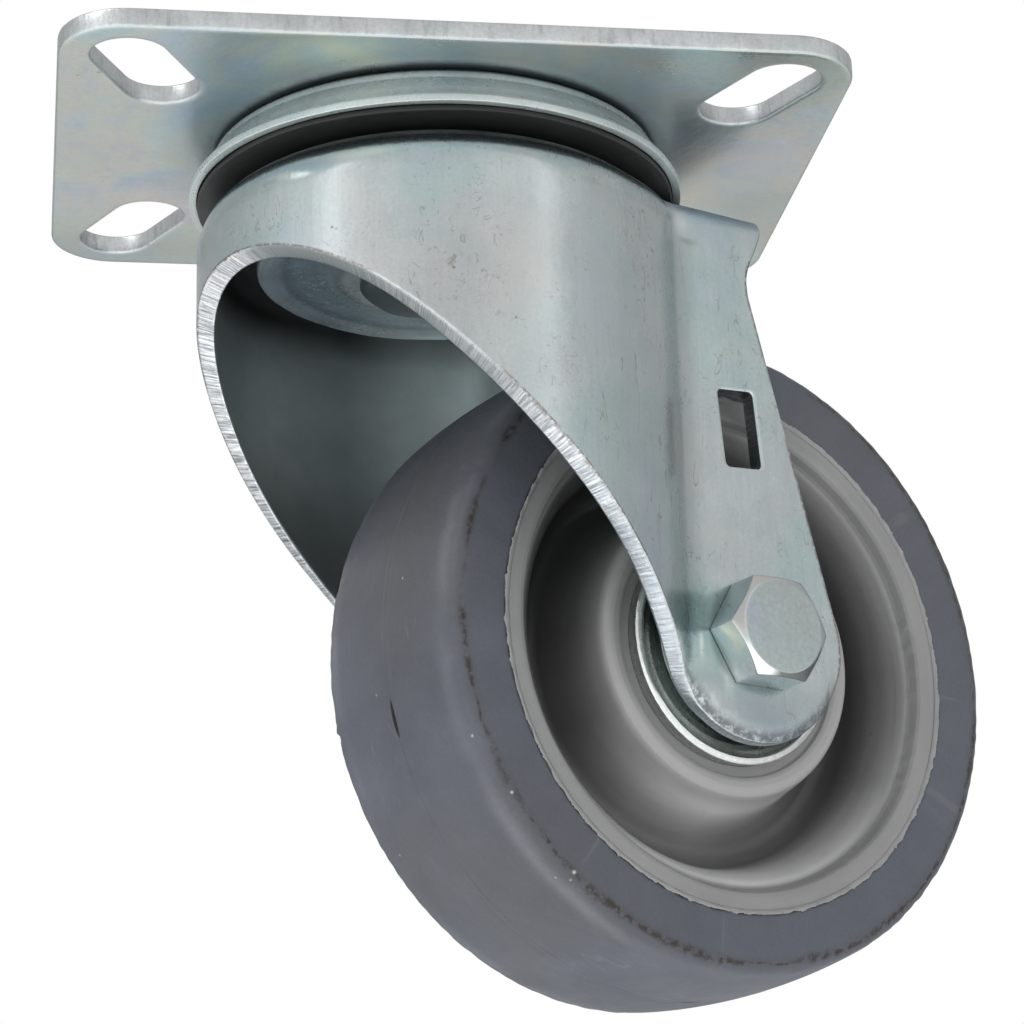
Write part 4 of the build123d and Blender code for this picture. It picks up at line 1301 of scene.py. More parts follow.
def fork_zinc(name):
    """Plated pressing: cloudy hue drift, hair marks, a dark fuzzy roll-over at
    the leg ends and a fine burr line; the inside is duller and darker, with painted shade. Painted highlights,
    reflections and shade also sit on the crown's bend, the flare and round the bolt."""
    m = Mat(name, Metallic=1.0)
    p = m.pos
    at = m.t.nodes.new("ShaderNodeAttribute")
    at.attribute_name = "sheet"
    sv = at.outputs["Vector"]
    u, v, dep = m.split(sv)
    ar = m.t.nodes.new("ShaderNodeAttribute")
    ar.attribute_name = "rim"
    rim = ar.outputs["Fac"]
    inside = m.smooth(dep, 0.0016, 0.0024)
    tint = (0.560, 0.612, 0.620)
    hue = m.noise(p, 42.0, 3.0, 0.5, 0.8, 3.0)
    base = m.ramp(hue, [(0.30, (0.575, 0.592, 0.592)), (0.42, (0.560, 0.598, 0.603)), (0.50, tint), (0.58, (0.520, 0.606, 0.606)), (0.70, (0.525, 0.592, 0.634))])
    cloud = m.noise(p, 30.0, 3.0, 0.5, 0.3, 1.0)
    base = m.mix(1.0, base, m.ramp(cloud, [(0.25, 0.94), (0.5, 1.0), (0.75, 1.04)]), "MULTIPLY")
    blot = m.noise(p, 150.0, 4.0, 0.6, 0.4, 2.0)
    base = m.mix(1.0, base, m.ramp(blot, [(0.28, (0.93, 0.945, 0.955)), (0.5, (1.0, 1.0, 1.0)), (0.72, (1.05, 1.035, 1.025))]), "MULTIPLY")
    # drawing lines down the wall
    dv = m.combine(u, m.math("MULTIPLY", v, 0.05), 0.0)
    st = m.noise(dv, 1500.0, 3.0, 0.6, 0.0, 7.0)
    wide = m.noise(dv, 200.0, 2.0, 0.5, 0.0, 8.0)
    base = m.mix(0.16, base, m.mix(1.0, base, m.ramp(st, [(0.34, 0.86), (0.5, 1.0), (0.70, 1.08)]), "MULTIPLY"))
    base = m.mix(0.35, base, m.mix(1.0, base, m.ramp(wide, [(0.34, 0.94), (0.5, 1.0), (0.68, 1.04)]), "MULTIPLY"))
    fine = m.noise(p, 2100.0, 2.0, 0.6, 0.0, 5.0)
    base = m.mix(1.0, base, m.ramp(fine, [(0.3, 0.965), (0.7, 1.03)]), "MULTIPLY")
    # brown hair marks: short crooked threads, more of them up and down
    hv = m.combine(u, m.math("MULTIPLY", v, 0.62), 0.0)
    h1 = hairs(m, hv, 330.0, 62.0, 20.0, 0.022, 0.48, 0.60)
    h2 = hairs(m, m.combine(u, m.math("MULTIPLY", v, 1.5), 0.0), 520.0, 80.0, 30.0, 0.026, 0.52, 0.62)
    h3 = hairs(m, m.combine(u, m.math("MULTIPLY", v, 0.30), 0.0), 210.0, 40.0, 35.0, 0.012, 0.45, 0.56)
    hh = m.math("MAXIMUM", m.math("MAXIMUM", m.math("MULTIPLY", h1, 0.50), m.math("MULTIPLY", h2, 0.36)), m.math("MULTIPLY", h3, 0.50))
    base = m.mix(hh, base, (0.25, 0.215, 0.185))
    # stains
    sn = m.noise(m.scaled(sv, 1.0, 0.7, 1.0), 130.0, 5.0, 0.65, 0.5, 9.0)
    big = m.smooth(m.noise(sv, 26.0, 1.0, 0.5, 0.0, 11.0), 0.48, 0.64)
    f = m.math("MULTIPLY", m.math("MULTIPLY", m.smooth(sn, 0.60, 0.76), big), 0.28)
    base = m.mix(f, base, (0.46, 0.43, 0.41))
    # tiny dark pits
    vo = m.voronoi(p, 420.0)
    sp = m.smooth(vo.outputs["Distance"], 0.06, 0.13, 1.0, 0.0)
    pick = m.smooth(m.noise(p, 120.0, 1.0, 0.5, 0.0, 14.0), 0.63, 0.68)
    base = m.mix(m.math("MULTIPLY", m.math("MULTIPLY", sp, pick), 0.75), base, (0.10, 0.09, 0.08))
    # painted reflection: bluer where the crown turns over, and a darker painted reflection of the seal on the rim under
    # it, which is also rougher there
    top = m.smooth(v, -0.0182, -0.0150)
    base = m.mix(m.math("MULTIPLY", top, 0.22), base, (0.44, 0.53, 0.59))
    rub = m.noise(m.combine(m.math("MULTIPLY", u, 0.5), m.math("MULTIPLY", v, 1.5), 0.0), 260.0, 4.0, 0.65, 0.3, 18.0)
    rough_rim_and_seal_reflection = m.smooth(v, -0.0142, -0.0128)
    base = m.mix(m.math("MULTIPLY", rough_rim_and_seal_reflection, m.smooth(rub, 0.40, 0.62, 0.10, 0.55)), base, (0.20, 0.22, 0.23))
    # patches of tint, and painted light: a pale painted highlight with a painted shadow under it on the flare, a bluish
    # painted reflection on the rear bend, and painted reflections and shade of the bolt's head beside and below it
    for at_mm, size, col, k in FORK_TINTS_AND_PAINTED_LIGHT:
        base = m.mix(m.math("MULTIPLY", m.blob(at_mm, size), k), base, col)
    # painted shade in the corner round the bolt's head
    wal, wr, wa = m.wheel_polar()
    by = m.math("MULTIPLY", m.smooth(wr, 0.0079, 0.0092, 1.0, 0.0), m.smooth(wal, 0.010, 0.012))
    base = m.mix(m.math("MULTIPLY", by, 0.45), base, (0.12, 0.14, 0.145))
    # burr line along the sheared outline, fuzzy dark roll-over at the leg ends
    rag = m.noise(p, 1300.0, 3.0, 0.7, 0.0, 24.0)
    line = m.math("MULTIPLY", m.smooth(rim, 0.00025, 0.00075, 1.0, 0.0), m.smooth(rag, 0.36, 0.54))
    warm = m.math("MULTIPLY", m.smooth(m.noise(p, 60.0, 2.0, 0.5, 0.0, 25.0), 0.44, 0.56), m.smooth(v, -0.036, -0.031, 1.0, 0.0))
    low = m.smooth(v, -0.090, -0.083, 1.0, 0.0)
    line = m.math("MULTIPLY", line, m.math("SUBTRACT", 1.0, low))
    base = m.mix(m.math("MULTIPLY", line, 0.85), base, m.mix(warm, (0.25, 0.205, 0.185), (0.70, 0.72, 0.73)))
    fz = m.noise(p, 900.0, 4.0, 0.75, 0.0, 26.0)
    roll = m.math("MULTIPLY", m.math("MULTIPLY", m.smooth(rim, 0.0006, 0.0022, 1.0, 0.0), low), m.smooth(fz, 0.34, 0.56))
    base = m.mix(m.math("MULTIPLY", roll, 0.88), base, (0.17, 0.175, 0.19))
    # the inside: dull; towards -x a painted shade, black just under the lower race and fading downwards; towards +x the
    # wall is painted lighter
    dull = m.ramp(m.noise(p, 90.0, 4.0, 0.6, 0.3, 16.0), [(0.3, (0.37, 0.41, 0.41)), (0.7, (0.47, 0.51, 0.51))])
    x, y, z = m.split(p)
    shade_height = m.math("ADD", z, m.math("MULTIPLY", m.math("SUBTRACT", cloud, 0.5), 0.010))
    lit = m.ramp(m.math("MULTIPLY", shade_height, -10.0), [(0.195, 0.32), (0.215, 0.64), (0.245, 1.04), (0.32, 1.08), (0.45, 1.0), (0.55, 0.86)])
    dull = m.mix(1.0, dull, m.mix(m.smooth(x, -0.012, 0.002), lit, (1.55, 1.55, 1.55)), "MULTIPLY")
    # painted shade, near black, on the torn rear edge of the flare
    torn = m.math("MULTIPLY", m.blob((48.3, -3.6, -17.8), (3.0, 3.0, 3.2)), m.smooth(rim, 0.0002, 0.0006, 1.0, 0.0))
    base = m.mix(m.math("MULTIPLY", torn, 0.6), base, (0.07, 0.075, 0.08))
    base = m.mix(inside, base, dull)
    m.color(base)
    r1 = m.ramp(m.noise(p, 55.0, 3.0, 0.6, 0.0, 15.0), [(0.3, 0.20), (0.7, 0.28)])
    r2 = m.math("ADD", r1, m.math("MULTIPLY", m.math("SUBTRACT", st, 0.5), 0.08))
    r3 = m.math("ADD", r2, m.math("MULTIPLY", m.math("MAXIMUM", hh, roll), 0.2))
    r4 = m.math("ADD", r3, m.math("MULTIPLY", rough_rim_and_seal_reflection, 0.32))
    m.rough(m.math("ADD", r4, m.math("MULTIPLY", inside, 0.26)))
    b1 = m.bump(m.noise(p, 170.0, 3.0, 0.55, 0.0, 17.0), 0.10, 0.0010)
    b2 = m.bump(wide, 0.06, 0.0003, b1)
    b3 = m.bump(st, 0.04, 0.0001, b2)
    b4 = m.bump(m.math("MULTIPLY", roll, fz), 0.15, 0.0002, b3)
    m.normal(m.bump(fine, 0.05, 0.0001, b4))
    return m


def fork_edge(name):
    """Sheared edge: bright, with fine lines straight across the sheet and a
    burr along both rims."""
    m = Mat(name, Metallic=1.0)
    at = m.t.nodes.new("ShaderNodeAttribute")
    at.attribute_name = "sheet"
    sv = at.outputs["Vector"]
    u, v, dep = m.split(sv)
    lv = m.combine(u, v, m.math("MULTIPLY", dep, 0.06))
    lines = m.noise(lv, 3300.0, 3.0, 0.6, 0.0, 1.0)
    wide = m.noise(m.combine(u, v, m.math("MULTIPLY", dep, 0.15)), 420.0, 3.0, 0.6, 0.0, 2.0)
    pit = m.noise(m.pos, 1900.0, 3.0, 0.7, 0.0, 3.0)
    base = m.ramp(lines, [(0.35, (0.27, 0.28, 0.30)), (0.45, (0.52, 0.54, 0.56)), (0.54, (0.74, 0.75, 0.77)), (0.62, (0.96, 0.97, 0.98))])
    base = m.mix(1.0, base, m.ramp(wide, [(0.32, (0.86, 0.89, 0.92)), (0.5, (0.96, 0.975, 0.98)), (0.7, (1.03, 1.03, 1.03))]), "MULTIPLY")
    base = m.mix(1.0, base, m.ramp(pit, [(0.3, 0.84), (0.6, 1.05)]), "MULTIPLY")
    rim_o = m.smooth(dep, 0.00015, 0.00055, 1.0, 0.0)
    rim_i = m.smooth(dep, 0.0022, 0.0026)
    ragged = m.smooth(m.noise(sv, 1100.0, 3.0, 0.7, 0.0, 4.0), 0.42, 0.56)
    warm = m.smooth(m.noise(m.pos, 60.0, 2.0, 0.5, 0.0, 25.0), 0.44, 0.56)
    base = m.mix(m.math("MULTIPLY", m.math("MULTIPLY", rim_o, ragged), 0.70), base, m.mix(warm, (0.24, 0.20, 0.18), (0.95, 0.95, 0.95)))
    base = m.mix(m.math("MULTIPLY", m.math("MULTIPLY", rim_i, ragged), 0.65), base, (0.96, 0.96, 0.96))
    base = m.mix(m.math("MULTIPLY", m.math("MULTIPLY", rim_i, m.smooth(pit, 0.50, 0.36)), 0.55), base, (0.20, 0.21, 0.22))
    soft = m.math("MULTIPLY", m.smooth(v, -0.038, -0.0305), m.smooth(u, -0.010, -0.001, 1.0, 0.0))
    base = m.mix(m.math("MULTIPLY", soft, 0.90), base, (0.31, 0.345, 0.345))
    nearer = m.math("MULTIPLY", m.smooth(u, -0.012, -0.004, 1.0, 0.0), m.smooth(v, -0.062, -0.048))
    base = m.mix(m.math("MULTIPLY", nearer, 0.70), base, (0.33, 0.36, 0.37))
    low = m.smooth(v, -0.076, -0.054, 1.0, 0.0)
    base = m.mix(m.math("MULTIPLY", low, 0.62), base, (0.56, 0.62, 0.66))
    # painted shade, near black in patches, on the torn rear edge of the flare
    torn = m.blob((48.3, -3.6, -18.6), (5.0, 5.0, 6.0))
    base = m.mix(m.math("MULTIPLY", torn, m.smooth(m.noise(m.pos, 620.0, 3.0, 0.6, 0.0, 6.0), 0.50, 0.62, 0.97, 0.10)), base, (0.045, 0.05, 0.055))
    m.color(base)
    m.rough(m.ramp(lines, [(0.3, 0.44), (0.7, 0.22)]))
    b1 = m.bump(wide, 0.09, 0.0005)
    b2 = m.bump(lines, 0.65, 0.00013, b1)
    m.normal(m.bump(pit, 0.30, 0.00018, b2))
    return m


def cut_edge(name, axis_noise, tint=(0.74, 0.75, 0.76)):
    """Sheared or punched edge of the plate: fine tear lines across it."""
    m = Mat(name, Metallic=1.0)
    p = m.pos
    v = m.scaled(p, 1.0, 1.0, 0.18)
    n1 = m.noise(v, 900.0, 4.0, 0.62, 0.2, 1.0)
    n2 = m.noise(p, 1900.0, 3.0, 0.6, 0.3, 2.0)
    n3 = m.noise(p, 160.0, 3.0, 0.5, 0.3, 4.0)
    c = m.ramp(n1, [(0.30, tuple(x * 0.74 for x in tint)), (0.46, tuple(x * 0.95 for x in tint)), (0.70, tint)])
    c = m.mix(1.0, c, m.ramp(n2, [(0.3, 0.90), (0.6, 1.03)]), "MULTIPLY")
    c = m.mix(1.0, c, m.ramp(n3, [(0.3, 0.82), (0.6, 1.03)]), "MULTIPLY")
    m.color(c)
    m.rough(m.ramp(n1, [(0.3, 0.44), (0.7, 0.30)]))
    m.normal(m.bump(n2, 0.2, 0.0002, m.bump(n1, 0.3, 0.0003)))
    return m


def steel_disc(name):
    """Lower race: grey phosphated steel, darker towards the middle, with painted shade towards -x and painted light
    towards +x.
    """
    m = Mat(name, Metallic=0.55)
    p = m.pos
    z, r, a = m.head_polar()
    base = m.ramp(m.math("MULTIPLY", r, 30.0), [(0.30, (0.50, 0.52, 0.52)), (0.41, (0.52, 0.57, 0.59)), (0.44, (0.30, 0.35, 0.37)),
                                                (0.50, (0.37, 0.46, 0.50)), (0.64, (0.38, 0.47, 0.52)), (0.685, (0.30, 0.37, 0.42)),
                                                (0.72, (0.50, 0.58, 0.62)), (0.79, (0.58, 0.66, 0.69)), (0.81, (0.70, 0.77, 0.79))])
    # painted light and shade: darker towards -x, lighter towards +x
    x, y, zz = m.split(p)
    base = m.mix(1.0, base, m.mix(m.smooth(x, -0.020, 0.002), (0.68, 0.73, 0.77), (1.18, 1.17, 1.14)), "MULTIPLY")
    turn = m.noise(m.combine(m.math("MULTIPLY", r, 1.0), m.math("MULTIPLY", z, 1.0), m.math("MULTIPLY", a, 0.0008)), 1500.0, 3.0, 0.6, 0.0, 4.0)
    base = m.mix(1.0, base, m.ramp(turn, [(0.3, 0.88), (0.7, 1.06)]), "MULTIPLY")
    cl = m.noise(p, 70.0, 3.0, 0.6, 0.5, 6.0)
    base = m.mix(1.0, base, m.ramp(cl, [(0.3, 0.70), (0.5, 1.0), (0.7, 1.15)]), "MULTIPLY")
    sp = m.noise(p, 1500.0, 4.0, 0.75, 0.0, 5.0)
    gate = m.smooth(m.noise(p, 75.0, 2.0, 0.5, 0.0, 7.0), 0.40, 0.62)
    base = m.mix(m.math("MULTIPLY", m.math("MULTIPLY", m.smooth(sp, 0.54, 0.66), gate), 0.8), base, (0.13, 0.13, 0.12))
    base = m.mix(m.math("MULTIPLY", m.math("MULTIPLY", m.smooth(sp, 0.44, 0.36), gate), 0.5), base, (0.95, 0.95, 0.92))
    m.color(base)
    m.rough(m.ramp(cl, [(0.3, 0.42), (0.7, 0.32)]))
    m.normal(m.bump(turn, 0.18, 0.0002, m.bump(sp, 0.22, 0.0003)))
    return m


def polished_turned(name, tint, polar, rough=0.28, seed=0.0, line=0.12, wear_k=0.35, metallic=1.0, extra=None):
    """Zinc plated turned ring: fine rings from the tool."""
    m = Mat(name, Metallic=metallic)
    p = m.pos
    al, r, a = m.wheel_polar() if polar == "a" else m.head_polar()
    v = m.combine(r, al, 0.0)
    t = m.noise(v, 3400.0, 2.0, 0.6, 0.0, seed)
    t2 = m.noise(v, 900.0, 2.0, 0.6, 0.0, seed + 3)
    cloud = m.noise(p, 60.0, 3.0, 0.55, 0.3, seed + 1)
    base = m.ramp(cloud, [(0.3, tuple(c * 0.88 for c in tint)), (0.55, tint), (0.8, (tint[0] * 0.98, tint[1] * 1.03, tint[2] * 1.0))])
    base = m.mix(1.0, base, m.ramp(t, [(0.3, 0.90), (0.6, 1.04)]), "MULTIPLY")
    base = m.mix(1.0, base, m.ramp(t2, [(0.3, 0.93), (0.6, 1.03)]), "MULTIPLY")
    fine = m.noise(p, 1700.0, 3.0, 0.6, 0.0, seed + 5)
    base = m.mix(1.0, base, m.ramp(fine, [(0.3, 0.92), (0.7, 1.05)]), "MULTIPLY")
    wear = m.smooth(m.noise(p, 700.0, 4.0, 0.7, 0.0, seed + 6), 0.62, 0.72)
    base = m.mix(m.math("MULTIPLY", wear, wear_k), base, (0.20, 0.19, 0.18))
    if extra:
        base = extra(m, base)
    m.color(base)
    m.rough(m.ramp(m.noise(p, 130.0, 4.0, 0.6, 0.0, seed + 2), [(0.3, rough * 0.8), (0.7, rough * 1.25)]))
    m.normal(m.bump(t, line * 0.5, 0.0001))
    return m


def cup_contact_shade(m, base):
    """Painted contact shadow where the cup meets the plate; the lip less bright than the wall."""
    z, r, a = m.head_polar()
    rg = m.math("MULTIPLY", m.math("SUBTRACT", m.noise(m.pos, 420.0, 2.0, 0.5, 0.0, 36.0), 0.5), 0.0003)
    # painted shade: the wall is darkened near the plate; the lip is kept a little darker than the wall
    k = m.ramp(m.math("MULTIPLY", m.math("ADD", z, rg), -80.0), [(0.24, 0.34), (0.28, 0.48), (0.33, 0.92), (0.40, 1.0), (0.60, 1.0), (0.66, 0.78), (0.70, 0.80)])
    return m.mix(1.0, base, k, "MULTIPLY")


def rubber_tyre(name):
    m = Mat(name)
    p = m.pos
    al, r, a = m.wheel_polar()
    x = m.math("ABSOLUTE", al)
    cloud = m.noise(p, 42.0, 5.0, 0.6, 0.6, 1.0)
    base = m.ramp(cloud, [(0.28, (0.094, 0.103, 0.124)), (0.5, (0.113, 0.123, 0.148)), (0.72, (0.130, 0.141, 0.167))])
    # handling dirt browns parts of the tread
    brn = m.smooth(m.noise(p, 26.0, 3.0, 0.55, 0.3, 21.0), 0.46, 0.62)
    brn = m.math("MAXIMUM", m.math("MULTIPLY", brn, 0.35), m.math("MULTIPLY", m.turned_to(a, r, al, 163.0, 4.0, 22.0, 11.0), 0.60))
    base = m.mix(brn, base, (0.108, 0.102, 0.104))
    # a pale painted highlight where the tread turns into the side, bluer beside it
    wob = m.math("MULTIPLY", m.math("SUBTRACT", m.noise(p, 35.0, 3.0, 0.6, 0.0, 22.0), 0.5), 0.0055)
    bx = m.math("DIVIDE", m.math("SUBTRACT", m.math("ADD", x, wob), 0.0150), 0.0015)
    shoulder_highlight = m.math("POWER", 2.718, m.math("MULTIPLY", m.math("MULTIPLY", bx, bx), -1.0))
    bp = m.smooth(m.noise(p, 34.0, 3.0, 0.6, 0.0, 23.0), 0.40, 0.62, 0.10, 1.0)
    base = m.mix(m.math("MULTIPLY", m.math("MULTIPLY", shoulder_highlight, bp), 0.55), base, (0.225, 0.228, 0.255))
    side = m.smooth(x, 0.0164, 0.0172)
    base = m.mix(m.math("MULTIPLY", side, 0.45), base, (0.118, 0.128, 0.150))
    # moulding flow marks run round the tread
    flow = m.noise(m.combine(m.math("MULTIPLY", a, 0.05), m.math("MULTIPLY", al, 0.5), m.math("MULTIPLY", r, 0.5)), 120.0, 4.0, 0.6, 0.3, 2.0)
    base = m.mix(1.0, base, m.ramp(flow, [(0.3, 0.94), (0.7, 1.06)]), "MULTIPLY")
    # pale scuffs
    sc = m.noise(m.combine(m.math("MULTIPLY", a, 0.012), al, r), 520.0, 3.0, 0.6, 0.0, 3.0)
    scm = m.math("MULTIPLY", m.smooth(sc, 0.64, 0.76), m.smooth(m.noise(p, 60.0, 2.0, 0.5, 0.0, 4.0), 0.48, 0.66))
    base = m.mix(m.math("MULTIPLY", scm, 0.35), base, (0.24, 0.25, 0.26))
    scr = m.noise(m.combine(m.math("MULTIPLY", a, 0.012), m.math("MULTIPLY", al, 0.7), 0.0), 150.0, 2.0, 0.5, 0.0, 24.0)
    scl = m.smooth(m.math("ABSOLUTE", m.math("SUBTRACT", scr, 0.5)), 0.0, 0.006, 1.0, 0.0)
    scl = m.math("MULTIPLY", scl, m.smooth(m.noise(p, 90.0, 2.0, 0.5, 0.0, 25.0), 0.54, 0.62))
    base = m.mix(m.math("MULTIPLY", scl, 0.30), base, (0.20, 0.205, 0.21))
    # brown dirt caught along the corner of the side
    dn = m.math("MULTIPLY", m.math("SUBTRACT", m.noise(p, 200.0, 2.0, 0.5, 0.0, 5.0), 0.5), 0.0011)
    dr = m.math("ABSOLUTE", m.math("SUBTRACT", m.math("ADD", r, dn), 0.0469))
    wide = m.smooth(m.noise(p, 70.0, 2.0, 0.5, 0.0, 26.0), 0.35, 0.65, 0.00022, 0.00090)
    lm = m.math("SUBTRACT", 1.0, m.math("DIVIDE", dr, wide), clamp=True)
    lm = m.math("MULTIPLY", lm, m.smooth(x, 0.0160, 0.0166))
    lp = m.smooth(m.noise(p, 620.0, 4.0, 0.75, 0.0, 6.0), 0.42, 0.58)
    lq = m.smooth(m.noise(p, 48.0, 3.0, 0.6, 0.0, 27.0), 0.38, 0.56)
    lm = m.math("MULTIPLY", m.math("MULTIPLY", lm, lp), lq)
    base = m.mix(m.math("MULTIPLY", lm, 1.35, clamp=True), base, (0.036, 0.029, 0.024))
    halo = m.math("MULTIPLY", m.smooth(dr, 0.0, 0.0016, 1.0, 0.0), m.smooth(x, 0.0150, 0.0166))
    base = m.mix(m.math("MULTIPLY", m.math("MULTIPLY", halo, lq), 0.30), base, (0.085, 0.075, 0.070))
    # parting line, a thin thread in the middle of the tread
    pn = m.math("MULTIPLY", m.math("SUBTRACT", m.noise(p, 25.0, 2.0, 0.5, 0.0, 28.0), 0.5), 0.0012)
    pm = m.smooth(m.math("ABSOLUTE", m.math("SUBTRACT", m.math("ADD", al, pn), 0.0004)), 0.00003, 0.00022, 1.0, 0.0)
    tread = m.smooth(r, 0.0485, 0.0490)
    pg = m.smooth(m.noise(p, 80.0, 3.0, 0.6, 0.0, 29.0), 0.40, 0.60, 0.15, 1.0)
    pc = m.mix(m.smooth(m.noise(p, 40.0, 1.0, 0.5, 0.0, 30.0), 0.48, 0.54), (0.055, 0.058, 0.064), (0.20, 0.20, 0.205))
    base = m.mix(m.math("MULTIPLY", m.math("MULTIPLY", m.math("MULTIPLY", pm, tread), pg), 0.28), base, pc)
    # the open cut in the tread, painted near black as the shade inside it
    cc = m.math("DIVIDE", m.math("SUBTRACT", m.math("MULTIPLY", a, 0.0495), CUT_T * 0.0495), CUT_L * 0.0495)
    cw = m.math("MULTIPLY", m.math("SUBTRACT", 1.0, m.math("MULTIPLY", cc, cc), clamp=True), 0.00046)
    cd = m.math("ABSOLUTE", m.math("SUBTRACT", al, m.math("ADD", 0.00036, m.math("MULTIPLY", m.math("MULTIPLY", cc, cc), 0.0002))))
    cm = m.math("MULTIPLY", m.smooth(m.math("SUBTRACT", cw, cd), 0.0, 0.0001), tread)
    base = m.mix(cm, base, (0.010, 0.010, 0.011))
    dust = m.noise(p, 2200.0, 2.0, 0.6, 0.0, 7.0)
    base = m.mix(1.0, base, m.ramp(dust, [(0.3, 0.95), (0.7, 1.05)]), "MULTIPLY")
    spk = m.voronoi(p, 260.0)
    sm = m.math("MULTIPLY", m.smooth(spk.outputs["Distance"], 0.03, 0.07, 1.0, 0.0), m.smooth(m.noise(p, 75.0, 1.0, 0.5, 0.0, 8.0), 0.60, 0.66))
    base = m.mix(m.math("MULTIPLY", sm, 0.6), base, (0.42, 0.42, 0.40))
    for at, w in (((1.72, -16.8, -97.6), 0.20), ((16.43, -11.66, -115.7), 0.24), ((7.31, -15.91, -105.38), 0.18), ((-10.09, -1.49, -87.6), 0.15), ((-6.8, -8.79, -72.12), 0.15)):
        base = m.mix(m.math("MULTIPLY", m.blob(at, (w, w, w)), 0.9), base, (0.70, 0.69, 0.66))
    m.color(base)
    m.b.inputs["Specular IOR Level"].default_value = 0.42
    m.rough(m.ramp(m.noise(p, 90.0, 4.0, 0.6, 0.3, 9.0), [(0.3, 0.38), (0.7, 0.54)]))
    h = m.bump(m.noise(p, 420.0, 4.0, 0.6, 0.0, 10.0), 0.18, 0.0006)
    h = m.bump(m.noise(p, 2600.0, 2.0, 0.6, 0.0, 11.0), 0.14, 0.00015, h)
    h = m.bump(m.noise(p, 60.0, 3.0, 0.5, 0.3, 12.0), 0.10, 0.002, h)
    m.normal(h)
    return m


def plastic_hub(name, tint=(0.285, 0.286, 0.286)):
    m = Mat(name)
    p = m.pos
    al, r, a = m.wheel_polar()
    x = m.math("ABSOLUTE", al)
    cloud = m.noise(p, 60.0, 4.0, 0.55, 0.4, 1.0)
    base = m.ramp(cloud, [(0.3, tuple(c * 0.94 for c in tint)), (0.7, tuple(c * 1.06 for c in tint))])
    flow = m.noise(m.combine(m.math("MULTIPLY", a, 0.004), al, r), 700.0, 3.0, 0.6, 0.3, 2.0)
    base = m.mix(1.0, base, m.ramp(flow, [(0.3, 0.96), (0.7, 1.04)]), "MULTIPLY")
    # painted shade darkens the groove, less towards the bottom and the right and more on the left; the crest of the
    # boss gets a painted highlight; the step and the rim keep the plain colour
    groove_shade_and_light = m.ramp(m.math("MULTIPLY", r, 25.0), [(0.555, 1.0), (0.585, 0.92), (0.640, 0.42), (0.690, 0.24), (0.765, 0.26), (0.800, 0.62), (0.868, 0.78), (0.885, 1.0)])
    dn = m.math("ABSOLUTE", m.math("WRAP", m.math("SUBTRACT", a, math.radians(-90.0)), math.pi, -math.pi))
    groove_shade_and_light = m.mix(1.0, groove_shade_and_light, m.ramp(m.math("DIVIDE", dn, math.pi), [(0.0, 2.7), (0.15, 2.1), (0.34, 0.88), (0.52, 0.66), (0.8, 0.74), (1.0, 0.85)]), "MULTIPLY")
    sideways = m.math("COSINE", a)
    groove_shade_and_light = m.mix(1.0, groove_shade_and_light, m.math("MULTIPLY", m.smooth(sideways, 0.3, 0.9, 1.0, 1.28), m.smooth(m.math("MULTIPLY", sideways, -1.0), 0.3, 0.9, 1.0, 0.80)), "MULTIPLY")
    groove_shade_and_light = m.mix(m.math("MAXIMUM", m.smooth(x, 0.0150, 0.0170), m.math("MAXIMUM", m.smooth(r, 0.0345, 0.0354), m.smooth(r, 0.0222, 0.0236, 1.0, 0.0))), groove_shade_and_light, (1.0, 1.0, 1.0))
    base = m.mix(1.0, base, groove_shade_and_light, "MULTIPLY")
    crest_highlight = m.math("MULTIPLY", m.smooth(x, 0.0155, 0.0172), m.math("MULTIPLY", m.smooth(r, 0.0185, 0.0200), m.smooth(r, 0.0224, 0.0240, 1.0, 0.0)))
    base = m.mix(m.math("MULTIPLY", crest_highlight, 0.60), base, (0.43, 0.43, 0.425))
    # torn flash at the edge of the rim, crumbs in the crease
    fl = m.smooth(r, 0.0392, 0.0396)
    fx = m.smooth(m.noise(p, 330.0, 4.0, 0.7, 0.0, 3.0), 0.38, 0.56)
    base = m.mix(m.math("MULTIPLY", m.math("MULTIPLY", fl, fx), 0.35), base, (0.42, 0.41, 0.39))
    dirt = m.smooth(m.noise(p, 480.0, 5.0, 0.7, 0.0, 4.0), 0.64, 0.74)
    base = m.mix(m.math("MULTIPLY", dirt, 0.30), base, (0.11, 0.10, 0.095))
    m.color(base)
    m.b.inputs["Specular IOR Level"].default_value = 0.5
    m.rough(m.ramp(m.noise(p, 120.0, 4.0, 0.6, 0.0, 5.0), [(0.3, 0.27), (0.7, 0.38)]))
    h = m.bump(m.noise(p, 380.0, 3.0, 0.6, 0.0, 6.0), 0.12, 0.0005)
    h = m.bump(m.noise(p, 2400.0, 2.0, 0.6, 0.0, 7.0), 0.08, 0.00015, h)
    m.normal(m.bump(flow, 0.10, 0.0003, h))
    return m


def black_seal(name):
    m = Mat(name)
    p = m.pos
    z, r, a = m.head_polar()
    n = m.noise(m.combine(r, z, m.math("MULTIPLY", a, 0.004)), 1400.0, 3.0, 0.6, 0.0, 1.0)
    base = m.ramp(n, [(0.3, (0.026, 0.027, 0.027)), (0.7, (0.042, 0.043, 0.043))])
    spk = m.voronoi(p, 300.0)
    sm = m.math("MULTIPLY", m.smooth(spk.outputs["Distance"], 0.03, 0.08, 1.0, 0.0), m.smooth(m.noise(p, 90.0, 1.0, 0.5, 0.0, 2.0), 0.60, 0.66))
    base = m.mix(m.math("MULTIPLY", sm, 0.35), base, (0.22, 0.20, 0.18))
    m.color(base)
    m.rough(m.ramp(m.noise(p, 160.0, 3.0, 0.6, 0.0, 3.0), [(0.3, 0.30), (0.7, 0.45)]))
    m.b.inputs["Specular IOR Level"].default_value = 0.4
    m.normal(m.bump(n, 0.08, 0.0002))
    return m


